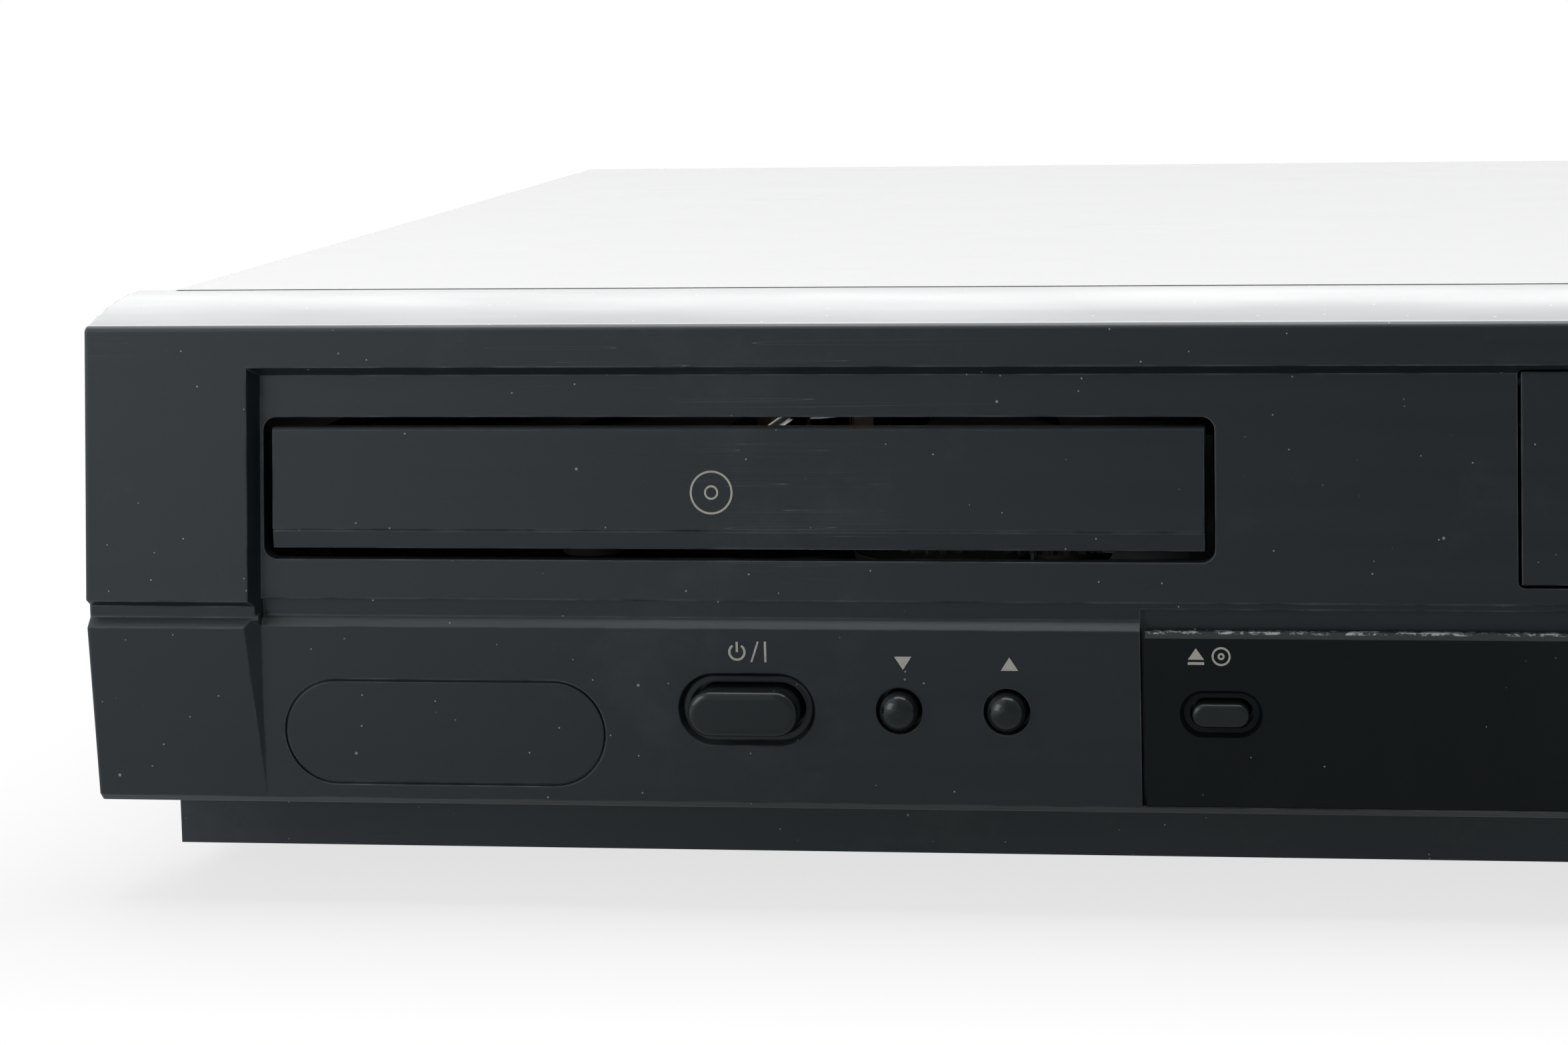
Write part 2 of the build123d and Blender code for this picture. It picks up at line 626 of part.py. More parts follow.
def rear_av_sockets():
    """Row of phono sockets on one moulded block."""
    face = REAR_Y[0] - 0.2
    block = span(PHONO_X[0] - 8, PHONO_X[-1] + 8, 128, face, PHONO_Z - 8, PHONO_Z + 8)
    for x in PHONO_X:
        block += level(x, PHONO_Z, face - 0.5, BACK - 0.1, JACK_R)
        block -= level(x, PHONO_Z, face - 4, BACK + 1, 1.65)
    return block


def front_av_sockets():
    """Three phono sockets behind the right of the lower panel, on their own block."""
    block = span(JACK_X[0] - 7, JACK_X[-1] + 7, PANEL_Y + 9, PANEL_Y + 16, 23.5, 38)
    for x in JACK_X:
        barrel = level(x, CONTROL_Z, PANEL_Y + 0.3, PANEL_Y + 9.5, JACK_R)
        block += barrel
        block -= level(x, CONTROL_Z, PANEL_Y, PANEL_Y + 12, 1.65)
    return block


def mains_inlet():
    """Two-pin appliance inlet."""
    flange = REAR_Y[1] + 0.05
    body = facing(128, Pos(INLET_X, INLET_Z) * RectangleRounded(24, 14, 2), flange - 127)
    body += facing(flange, Pos(INLET_X, INLET_Z) * RectangleRounded(27, 17, 3), 2.2)
    body -= facing(132, Pos(INLET_X, INLET_Z) * pill(16.6, 9.2), 20)
    for x in (-4.3, 4.3):
        body += level(INLET_X + x, INLET_Z, 131, 143, 1.2)
    return body


# ---------------------------------------------------------------- disc loader
def loader_frame():
    """Open frame: two grooved side walls, a floor with a window for the optical unit,
    a raised deck for the gears at the front, and the ears that carry the hinge."""
    inner, outer = LOADER_HALF, LOADER_HALF + LOADER_WALL
    y0, y1 = LOADER_Y
    z0, z1 = LOADER_Z
    left, right = TRAY_X - outer, TRAY_X + outer
    body = span(left, right, y0, y1, z0, z1)
    body -= span(TRAY_X - inner, TRAY_X + inner, y0 - 1, y1 + 1, z0 + 2.4, z1 + 1)
    for side in (-1, 1):
        groove = (TRAY_X + side * (inner - 1), TRAY_X + side * (inner + 2))
        body -= span(min(groove), max(groove), y0 - 1, 40, RAIL_Z[0] - RAIL_PLAY, RAIL_Z[1] + RAIL_PLAY)
        body += span(
            TRAY_X + side * inner, TRAY_X + side * (inner + 12), y0 + 8, y0 + 20, z0, z0 + 2.4
        )
        body += span(TRAY_X + side * inner, TRAY_X + side * (inner + 12), y1 - 14, y1 - 2, z0, z0 + 2.4)
    body -= span(TRAVERSE_X[0] - 0.6, TRAVERSE_X[1] + 5, -80, 38, z0 - 1, z0 + 3)
    deck = span(TRAY_X - inner - 1, TRAY_X + inner + 1, y0, y0 + 36, *GEAR_DECK_Z)
    deck += span(TRAY_X - inner - 1, TRAY_X + inner + 1, y0, y0 + 2.4, z0, GEAR_DECK_Z[1])
    deck -= upright(LOADING_MOTOR_X, GEAR_Y, 38, 44, 3.0)
    body += deck
    body -= upright(LOADING_MOTOR_X, GEAR_Y, z0 - 4, GEAR_DECK_Z[0] - 0.05, 11.2)
    body += upright(DRIVE_X, GEAR_Y, GEAR_DECK_Z[1] - 1, 59.0, 2.0)
    body += upright(PULLEY_X, GEAR_Y, GEAR_DECK_Z[1] - 1, 53.2, 2.0)
    for x in (TRAVERSE_X[0] + EAR_INSET, TRAVERSE_X[1] - EAR_INSET):
        ear = profile_x(
            x - 2, x + 2, (52, z0 + 1), (60, z0 + 1), (60, HINGE_Z + 4), (HINGE_Y - 4, HINGE_Z + 4),
            (HINGE_Y - 4, HINGE_Z - 4),
        )
        body += ear - across(HINGE_Y, HINGE_Z, x - 3, x + 3, 2.6)
    return body


def clamp_bridge():
    """Steel strip over the tray with the round hole that the clamper hangs in."""
    z0, z1 = CLAMP_Z
    half = LOADER_HALF + LOADER_WALL
    body = span(TRAY_X - half, TRAY_X + half, DISC_Y - 14, DISC_Y + 14, z0, z1)
    body += upright(TRAY_X, DISC_Y, z0, z1, 20)
    body -= upright(TRAY_X, DISC_Y, z0 - 1, z1 + 1, 12.0)
    for side in (-1, 1):
        edge = TRAY_X + side * half
        body -= span(edge - 14 * side, edge - 40 * side, DISC_Y - 6, DISC_Y + 6, z0 - 1, z1 + 1)
    return body


def clamper():
    """Magnetic puck that hangs by its flange in the bridge."""
    profile = [(0, 69.0), (10.8, 69.0), (11.4, 69.6), (11.4, 71.5), (14.4, 71.5), (14.4, 72.6)]
    profile += [(6, 72.6), (5, 73.4), (0, 73.4)]
    return Pos(TRAY_X, DISC_Y) * turned(*profile)


def disc_tray():
    """Tray with wells for both disc sizes, a slot for the turntable and the lens, rails
    along its sides and the rack under its right edge."""
    z0, z1 = TRAY_Z
    y0, y1 = TRAY_Y
    length, middle = y1 - y0, (y0 + y1) / 2
    blank = RectangleRounded(2 * TRAY_HALF, length, 5.0)
    body = Pos(TRAY_X, middle, z0) * extrude(blank, amount=z1 - z0)
    under = Pos(TRAY_X, middle, z0 - 1) * extrude(
        RectangleRounded(2 * TRAY_HALF - 5, length - 5, 3.0), amount=z1 - z0 - 1.2
    )
    body -= under - upright(TRAY_X, DISC_Y, z0 - 2, z1 + 1, DISC_R + 2)
    well = Pos(TRAY_X, DISC_Y) * turned(
        (0, 62.3), (SMALL_DISC_R, 62.3), (SMALL_DISC_R, DISC_SEAT_Z), (DISC_R - 1.2, DISC_SEAT_Z),
        (DISC_R + 0.5, z1 + 0.1), (0, z1 + 0.1),
    )
    body -= well
    inside = TRAY_HALF - 3.5
    for side in (-1, 1):
        finger = upright(TRAY_X + side * TRAY_HALF, DISC_Y, DISC_SEAT_Z, z1 + 9, 13)
        body -= finger & span(TRAY_X - inside, TRAY_X + inside, y0, y1, DISC_SEAT_Z, z1 + 9)
    slot = upright(TRAY_X, DISC_Y, z0 - 1, z1, 18.0)
    slot += span(TRAY_X - 17, TRAY_X + 17, DISC_Y, DISC_Y + 56, z0 - 1, z1)
    body -= slot
    for side in (-1, 1):
        edge = TRAY_X + side * TRAY_HALF
        rail = sorted((edge - 0.5 * side, edge + 2.4 * side))
        body += span(rail[0], rail[1], y0 + 3, y1 - 3, *RAIL_Z)
    bar = rack(TRAY_RACK_TEETH, MODULE, 6.0, 3.5)
    body += Pos(RACK_X, GEAR_Y + (TRAY_RACK_TEETH / 2 - 2) * pi * MODULE, z0 - 5.6) * bar
    return body


def tray_flap():
    """Front of the tray: a leaning face in line with the recess, with a shallow seam
    above its bevelled lower strip."""
    z0, z1 = FLAP_Z
    back = TRAY_Y[0] - 0.05
    proud = 0.5
    front = [(recess_y(z) - proud, z) for z in (z0, z1)]
    seam = recess_y(FLAP_SEAM_Z) - proud
    body = profile_x(
        TRAY_X - FLAP_HALF,
        TRAY_X + FLAP_HALF,
        (back, z0),
        (front[0][0] + 0.5, z0),
        (seam + 0.15, FLAP_SEAM_Z - 0.1),
        (seam + 0.35, FLAP_SEAM_Z),
        (seam, FLAP_SEAM_Z + 0.2),
        (front[1][0], z1 - 0.4),
        (front[1][0] + 0.4, z1),
        (back, z1),
    )
    return body


def drive_gear():
    """Two wheels in one moulding: the upper one drives the rack."""
    lower = spur(WHEEL_TEETH, TRAIN_MODULE, 2.5)
    upper = spur(DRIVE_TEETH, MODULE, 5.0)
    hub = upright(0, 0, 44.5, 58.6, 4.5)
    body = Pos(0, 0, 49.0) * lower + Pos(0, 0, 53.6) * upper + hub
    body -= upright(0, 0, 40, 60, 2.1)
    return Pos(DRIVE_X, GEAR_Y) * body


def pulley_gear():
    """Belt pulley with the pinion that turns the drive gear."""
    rim = PULLEY_R + 1.5
    groove = PULLEY_R - 0.1
    pulley = turned(
        (2.1, 43.0), (rim, 43.0), (rim, 44.0), (groove, 44.6), (groove, 46.5), (rim, 47.1),
        (rim, 48.0), (2.1, 48.0),
    )
    pinion = Pos(0, 0, 47.9) * spur(PINION_TEETH, TRAIN_MODULE, 4.4, turn=180 / PINION_TEETH)
    body = pulley + pinion - upright(0, 0, 40, 60, 2.1)
    return Pos(PULLEY_X, GEAR_Y) * body


def motor_pulley():
    rim = MOTOR_PULLEY_R + 1.3
    groove = MOTOR_PULLEY_R - 0.1
    pulley = turned(
        (1.05, 43.4), (rim, 43.4), (rim, 44.0), (groove, 44.6), (groove, 46.5), (rim, 47.1),
        (rim, 48.4), (1.05, 48.4),
    )
    return Pos(LOADING_MOTOR_X, GEAR_Y) * pulley


def loading_motor():
    can = upright(0, 0, GEAR_DECK_Z[0] - 12.4, GEAR_DECK_Z[0] - 0.1, 10.5)
    can += upright(0, 0, GEAR_DECK_Z[0] - 13.6, GEAR_DECK_Z[0] - 12, 4.0)
    can += upright(0, 0, GEAR_DECK_Z[0] - 1, GEAR_DECK_Z[1] - 0.2, 2.8)
    can += upright(0, 0, GEAR_DECK_Z[1] - 1, 48.8, 1.0)
    return Pos(LOADING_MOTOR_X, GEAR_Y) * can


def belt_face(big, small, distance):
    """Outline of a belt round two circles, the big one at 0 and the small one at -X."""
    angle = asin((big - small) / distance)
    corners = [
        (-big * sin(angle), big * cos(angle)),
        (-distance - small * sin(angle), small * cos(angle)),
        (-distance - small * sin(angle), -small * cos(angle)),
        (-big * sin(angle), -big * cos(angle)),
    ]
    band = make_face(Polyline(*corners, close=True))
    return band + Circle(big) + Pos(-distance, 0) * Circle(small)


def drive_belt():
    distance = PULLEY_X - LOADING_MOTOR_X
    outer = belt_face(PULLEY_R + BELT_T, MOTOR_PULLEY_R + BELT_T, distance)
    inner = belt_face(PULLEY_R, MOTOR_PULLEY_R, distance)
    return Pos(PULLEY_X, GEAR_Y, BELT_Z[0]) * extrude(outer - inner, amount=BELT_Z[1] - BELT_Z[0])


# ---------------------------------------------------------------- optical unit
def traverse_chassis():
    """Plate that tips up under the disc, with stands for the rods and its hinge stubs."""
    x0, x1 = TRAVERSE_X
    y0, y1 = TRAVERSE_Y
    z0, z1 = TRAVERSE_Z
    body = span(x0, x1, y0, HINGE_Y - 7, z0, z1)
    window = span(TRAY_X - 20, TRAY_X + 20, -62.8, 24, z0 - 1, z1 + 1)
    body -= window - upright(TRAY_X, DISC_Y, z0 - 2, z1 + 2, 15.2)
    body -= upright(TRAY_X, DISC_Y, z0 - 1, z1 + 1, 4.0)
    for side in (-1, 1):
        x = TRAY_X + side * ROD_OFFSET
        for y in (-66, 30):
            stand = span(x - 3, x + 3, y - 2, y + 2, z1 - 0.5, ROD_Z + 2.1)
            body += stand - level(x, ROD_Z, y - 3, y + 3, ROD_R + 0.02)
    for x in (x0 + EAR_INSET, x1 - EAR_INSET):
        inward = 1 if x < TRAY_X else -1
        arm_x = x + inward * 5
        body += span(arm_x - 2, arm_x + 2, HINGE_Y - 8, HINGE_Y + 3, z0 - 1, z1 + 1)
        body += across(HINGE_Y, HINGE_Z, min(arm_x, x - 2.4 * inward), max(arm_x, x - 2.4 * inward), 2.5)
    body -= upright(FEED_X, FEED_Y, z0 - 1, z1 + 1, 1.0)
    body += upright(FEED_X, FEED_Y, z0, 56.0, 1.4)
    return body


def guide_rods():
    return Compound(
        children=[level(TRAY_X + s * ROD_OFFSET, ROD_Z, -69.5, 33.5, ROD_R) for s in (-1, 1)]
    )


def traverse_motors():
    """Spindle motor under the plate, and the flat motor that feeds the sled."""
    spindle = turned((0, 38.2), (11, 38.2), (12, 39), (12, 45.9), (0, 45.9))
    spindle += upright(0, 0, 45.8, 49.0, 3.6) + upright(0, 0, 48.5, 55.5, 0.75)
    feed = upright(0, 0, TRAVERSE_Z[1] + 0.02, 52.4, 7.6) + upright(0, 0, 52, 55.2, 0.7)
    return Compound(children=[Pos(TRAY_X, DISC_Y) * spindle, Pos(FEED_MOTOR_X, FEED_Y) * feed])


def turntable():
    """Rubber-topped table with a cone that centres the disc."""
    body = turned(
        (0.8, 50.0), (12, 50.0), (14.5, 53.0), (14.5, 57.2), (7.6, 57.2), (7.2, 58.6), (4.0, 59.4),
        (0, 59.4), (0, 56.5), (0.8, 56.5),
    )
    return Pos(TRAY_X, DISC_Y) * body


def pickup_sled():
    """Carrier of the lens, hollowed towards the turntable, with its rack on the left."""
    y0, y1 = LENS_Y - 13, LENS_Y + 13
    body = span(TRAY_X - 18, TRAY_X + 18, y0, y1, 44.0, 53.0)
    for side in (-1, 1):
        x = TRAY_X + side * ROD_OFFSET
        bush = sorted((TRAY_X, x + side * 3.6))
        body += span(bush[0], bush[1], y0 + 4, y1, 48.6, 53.0)
    body -= upright(TRAY_X, DISC_Y, 40, 60, 16.2)
    arm = span(FEED_RACK_X + 1.2, TRAY_X - 18, y1 - 4, y1, 49.6, 52.6)
    rack_y = FEED_Y - (SLED_RACK_TEETH / 2 - 2) * pi * TRAIN_MODULE
    bar = Pos(FEED_RACK_X, rack_y, 49.6) * rack(SLED_RACK_TEETH, TRAIN_MODULE, 3.0, 3.4)
    body = body + arm + bar
    for side in (-1, 1):
        body -= level(TRAY_X + side * ROD_OFFSET, ROD_Z, y0, y1 + 1, ROD_R + 0.06)
    return body


def objective_lens():
    body = turned((0, 53.05), (5.5, 53.05), (5.5, 54.2), (3.4, 54.2), (2.4, 54.9), (0, 55.3))
    return Pos(TRAY_X, LENS_Y) * body


def feed_gear():
    body = Pos(0, 0, 49.4) * spur(FEED_TEETH, TRAIN_MODULE, 3.9)
    body += Pos(0, 0, 53.2) * spur(FEED_WHEEL_TEETH, TRAIN_MODULE, 1.8)
    body -= upright(0, 0, 48, 58, 1.5)
    return Pos(FEED_X, FEED_Y) * body


def feed_pinion():
    body = Pos(0, 0, 53.0) * spur(FEED_TEETH, TRAIN_MODULE, 2.2, turn=180 / FEED_TEETH)
    return Pos(FEED_MOTOR_X, FEED_Y) * (body - upright(0, 0, 52, 57, 0.75))


# ---------------------------------------------------------------- cassette deck
def cassette_door():
    """Sprung door across the cassette mouth, in line with the recess, with hinge stubs."""
    z0, z1 = DOOR_Z
    body = profile_x(
        DOOR_X[0], DOOR_X[1],
        (recess_y(z0) + 2.2, z0), (recess_y(z0), z0), (recess_y(z1), z1), (recess_y(z1) + 2.2, z1),
    )
    pivot_y, pivot_z = DOOR_PIVOT
    for x in (DOOR_X[0], DOOR_X[1]):
        side = -1 if x < DECK_X else 1
        ear = sorted((x, x - side * 2.0))
        body += span(ear[0], ear[1], recess_y(pivot_z) + 1.5, pivot_y, pivot_z - 1.9, pivot_z + 1.6)
        body += across(pivot_y, pivot_z, ear[0], ear[1], 1.9)
        stub = sorted((x - side * 1.0, x + side * 6.2))
        body += across(pivot_y, pivot_z, stub[0], stub[1], DOOR_STUB_R)
    return body


def door_spring():
    """Torsion spring wound round the left hinge stub."""
    wire, radius, pitch, coils = 0.25, 1.4, 0.75, 4
    start = DOOR_X[0] - 3.9
    coil = Helix(pitch=pitch, height=pitch * coils, radius=radius)
    tube = sweep(Plane(origin=coil @ 0, z_dir=coil % 0) * Circle(wire), path=coil)
    return Pos(start, DOOR_PIVOT[0], DOOR_PIVOT[1]) * Rot(Y=90) * tube


def deck_chassis():
    """Steel plate with the windows for the reels, the flywheel and the tape path."""
    z0, z1 = DECK_PLATE_Z
    half = SIDE_INNER - 0.1
    body = span(DECK_X - half, DECK_X + half, DECK_Y[0], DECK_Y[1], z0, z1)
    for side in (-1, 1):
        slot_middle = ((POST_START[0] + POST_END[0]) / 2, (POST_START[1] + POST_END[1]) / 2)
        run = hypot(POST_END[0] - POST_START[0], POST_END[1] - POST_START[1])
        heading = degrees(atan2(POST_END[1] - POST_START[1], side * (POST_END[0] - POST_START[0])))
        cutter = extrude(pill(run + 8, 5.0), amount=3, both=True)
        body -= Pos(DECK_X + side * slot_middle[0], slot_middle[1], z0) * Rot(Z=heading) * cutter
    body -= upright(CAPSTAN[0], CAPSTAN[1], z0 - 1, z1 + 1, 3.2)
    for x in (DECK_X - 70, DECK_X + 70):
        body -= span(x - 14, x + 14, -84, -58, z0 - 1, z1 + 1)
    for side in (-1, 1):
        body += upright(DECK_X + side * REEL_X, REEL_Y, z0, 30, 1.5)
    body += upright(PINCH_PIVOT[0], PINCH_PIVOT[1], z0, 44, 1.6)
    return body


def side_plates():
    """Pressed side plates of the carriage with the run for the sliders' studs."""
    plates = []
    for side in (-1, 1):
        x = DECK_X + side * SIDE_INNER
        x0, x1 = sorted((x, x + side * SIDE_T))
        wall = span(x0, x1, SIDE_Y[0], SIDE_Y[1], DECK_PLATE_Z[1] + 0.05, 82.0)
        wall -= span(x0 - 1, x1 + 1, SIDE_Y[0] + 22, SIDE_Y[1] - 14, 30, 56)
        run = span(x0 - 1, x1 + 1, HOLDER_Y[0] + 3.6, HOLDER_Y[1] + CARRIAGE_TRAVEL - 3.6, 68.2, 71.8)
        plates.append(wall - run)
    pin_end = CARRIAGE_RACK_X + 3.0
    pin = across(CARRIAGE_GEAR_Y, CARRIAGE_GEAR_Z, DECK_X + SIDE_INNER + 0.1, pin_end, 1.5)
    plates[1] += pin
    return Compound(children=plates)


def carriage_sliders():
    """The pair of sliders that carry the holder in and out, with the bar that joins them,
    the upright slots that the holder drops in, and the rack outside the right plate."""
    body = None
    for side in (-1, 1):
        x = DECK_X + side * SLIDER_HALF
        x0, x1 = sorted((x, x + side * SLIDER_T))
        wall = span(x0, x1, HOLDER_Y[0], HOLDER_Y[1] + 4, 40, 81.6)
        for y in (HOLDER_Y[0] + 9, HOLDER_Y[1] - 9):
            wall -= span(x0 - 1, x1 + 1, y - 2.4, y + 2.4, 43, 70.0)
        studs = sorted((x + side * 0.5, DECK_X + side * (SIDE_INNER + SIDE_T + 0.8)))
        for y in (HOLDER_Y[0] + 6, HOLDER_Y[1] - 6):
            wall += across(y, 70.0, studs[0], studs[1], 1.5)
        body = wall if body is None else body + wall
    bar = span(
        DECK_X - SLIDER_HALF - 0.5, DECK_X + SLIDER_HALF + 0.5, HOLDER_Y[1] + 1, HOLDER_Y[1] + 4, 79.8, 81.6
    )
    pitch = pi * TRAIN_MODULE
    middle = CARRIAGE_GEAR_Y - CARRIAGE_RACK_LEAD * pitch
    half = CARRIAGE_RACK_TEETH * pitch / 2
    strip = span(CARRIAGE_RACK_X - 0.7, CARRIAGE_RACK_X + 0.1, middle - half, middle + half, 65.0, 71.5)
    teeth_up = Pos(CARRIAGE_RACK_X, middle, CARRIAGE_RACK_Z) * Rot(Y=90)
    return body + bar + strip + teeth_up * rack(CARRIAGE_RACK_TEETH, TRAIN_MODULE, 3.0, 3.5)


def cassette_holder():
    """Sheet steel basket: two ledges, two sides and a cut-out top, with its four pins."""
    y0, y1 = HOLDER_Y
    z0, z1 = HOLDER_Z
    half = HOLDER_HALF
    section = make_face(
        Polyline(
            (-half + 12, z0), (-half - 1, z0), (-half - 1, z1), (half + 1, z1), (half + 1, z0),
            (half - 12, z0), (half - 12, z0 + 1), (half, z0 + 1), (half, z1 - 1), (-half, z1 - 1),
            (-half, z0 + 1), (-half + 12, z0 + 1), close=True,
        )
    )
    body = facing(y0, Pos(DECK_X, 0) * section, y1 - y0)
    body -= span(DECK_X - 60, DECK_X + 60, y0 - 1, y0 + 16, z1 - 2, z1 + 1)
    body -= span(DECK_X - half + 4, DECK_X + half - 4, y0 + 24, y0 + 40, z1 - 2, z1 + 1)
    for side in (-1, 1):
        stop = sorted((DECK_X + side * (half + 0.5), DECK_X + side * (half - 6)))
        body += span(stop[0], stop[1], y1 - 1, y1, z0, z0 + 14)
        pins = sorted((DECK_X + side * (half + 0.5), DECK_X + side * (SLIDER_HALF + SLIDER_T + 0.5)))
        for y in (y0 + 9, y1 - 9):
            body += across(y, 67.4, pins[0], pins[1], 2.0)
    return body


def head_drum_frame():
    """Placement of the drum: it leans back over the tape path."""
    return Pos(DECK_X, DRUM_Y, 30) * Rot(X=-DRUM_TILT)


def drum_base():
    foot = upright(DECK_X, DRUM_Y, DECK_PLATE_Z[1] + 0.02, 30.0, 26.0)
    lower = turned((0, -3), (DRUM_R, -3), (DRUM_R, 19.6), (0, 19.6))
    lower += turned((0, 19), (3, 19), (3, 38), (0, 38))
    return foot + head_drum_frame() * lower


def head_drum():
    upper = turned(
        (3.2, 20.0), (DRUM_R, 20.0), (DRUM_R, 36.0), (DRUM_R - 1, 37.0), (16, 37.0), (16, 39.5),
        (3.2, 39.5),
    )
    for turn in (0, 180):
        window = Rot(Z=turn) * Pos(DRUM_R - 1, 0, 20.8) * Box(4, 5, 1.8)
        upper -= window
    return head_drum_frame() * upper


def capstan():
    """Polished shaft on its flywheel, under the plate."""
    profile = [(0, 13.0), (24, 13.0), (24, 18.5), (8, 18.5), (6, 20.0), (2.4, 20.0), (2.4, 58.0), (0, 58.0)]
    return Pos(*CAPSTAN) * turned(*profile)


def pinch_arm():
    px, py = PINCH_PIVOT
    cx, cy = PINCH
    arm = upright(px, py, 38, 43, 4.0) + upright(cx, cy, 38, 41, 3.5)
    length = hypot(cx - px, cy - py)
    heading = degrees(atan2(cy - py, cx - px))
    bar = Pos((px + cx) / 2, (py + cy) / 2, 39.0) * Rot(Z=heading) * Box(length, 5, 2)
    arm += bar
    arm += upright(cx, cy, 40, 56, 1.2)
    return arm - upright(px, py, 36, 46, 1.7)


def pinch_roller():
    body = turned((1.3, 41.6), (PINCH_R, 41.6), (PINCH_R, 54.6), (1.3, 54.6))
    return Pos(*PINCH) * body


def reel(side):
    """Reel table with the splined spindle that turns a cassette's hub."""
    body = turned(
        (1.6, 23.8), (13, 23.8), (13, 26.5), (16, 27.0), (16, 28.6), (7, 29.2), (4.2, 29.2),
        (4.2, 40.5), (2.6, 43.0), (0, 43.0), (0, 31), (1.6, 31),
    )
    for fin in range(3):
        body += Rot(Z=120 * fin) * span(3.8, 5.6, -0.7, 0.7, 29.0, 39.5)
    return Pos(DECK_X + side * REEL_X, REEL_Y) * body


def guide_post(side):
    """Tape guide on its shoe, which runs in the slot beside the drum."""
    x, y = DECK_X + side * POST_START[0], POST_START[1]
    z = DECK_PLATE_Z[1] + 0.3
    shoe = upright(x, y, z, z + 5, 5.0)
    shoe += upright(x, y, DECK_PLATE_Z[0] - 3, z + 1, 2.1)
    shoe += upright(x, y, DECK_PLATE_Z[0] - 3, DECK_PLATE_Z[0] - 1, 4.0)
    return shoe + Pos(x, y, z) * turned(
        (0, 4), (2.0, 4), (2.0, 9), (4.0, 9), (4.0, 11), (3.0, 11), (3.0, 24), (4.0, 24), (4.0, 26),
        (0, 26),
    )


def tape_heads():
    """Erase head on the supply side, and the sound and control head before the capstan."""
    z = DECK_PLATE_Z[1] + 0.02
    erase = span(DECK_X - 68, DECK_X - 58, 52, 62, z, 34) + span(DECK_X - 66, DECK_X - 60, 50, 60, 33, 50)
    sound = span(DECK_X + 50, DECK_X + 58, 60, 70, z, 34) + span(DECK_X + 51, DECK_X + 57, 57, 68, 33, 52)
    sound = Pos(12, 12, 0) * sound
    return Compound(children=[erase, sound])


def carriage_gear():
    """Wheel on the right side plate that winds the sliders in."""
    body = spur(CARRIAGE_TEETH, TRAIN_MODULE, 2.8) - upright(0, 0, -1, 4, 1.6)
    return Pos(CARRIAGE_RACK_X + 0.2, CARRIAGE_GEAR_Y, CARRIAGE_GEAR_Z) * Rot(Y=90) * body


# ---------------------------------------------------------------- buttons
def button(x, cap_sketch, flange_sketch, proud):
    """Cap, flange behind the panel and stem down to its switch."""
    face = PANEL_Y - proud
    flange = INNER_Y + 0.2
    body = facing(face, Pos(x, CONTROL_Z) * cap_sketch, flange - face + 0.5)
    body += facing(flange, Pos(x, CONTROL_Z) * flange_sketch, 1.0)
    return body + level(x, CONTROL_Z, flange + 0.5, STEM_END, 1.5)


def power_button():
    body = button(POWER_X, pill(16.6, 6.9), pill(19.6, 9.9), 3.8)
    return fillet(body.faces().sort_by(Axis.Y)[0].edges(), 1.1)


def round_button(x):
    """Domed button."""
    radius, rise = 2.95, 2.2
    body = button(x, Circle(radius), Circle(4.6), 0.2)
    crown = ThreePointArc((radius, 0), (0.71 * radius, 0.74 * rise), (0, rise))
    section = make_face(Curve() + [crown, Polyline((0, rise), (0, -0.5), (radius, -0.5), (radius, 0))])
    dome = revolve(Plane.XZ * section, Axis.Z)
    return body + Pos(x, PANEL_Y - 0.2, CONTROL_Z) * Rot(X=90) * dome


def eject_button(x):
    body = button(x, pill(8.5, 3.6), pill(11.4, 6.4), 1.6)
    return fillet(body.faces().sort_by(Axis.Y)[0].edges(), 0.8)


def transport_button(x):
    body = button(x, pill(12.2, 5.2), pill(15.0, 8.0), 1.8)
    return fillet(body.faces().sort_by(Axis.Y)[0].edges(), 0.6)


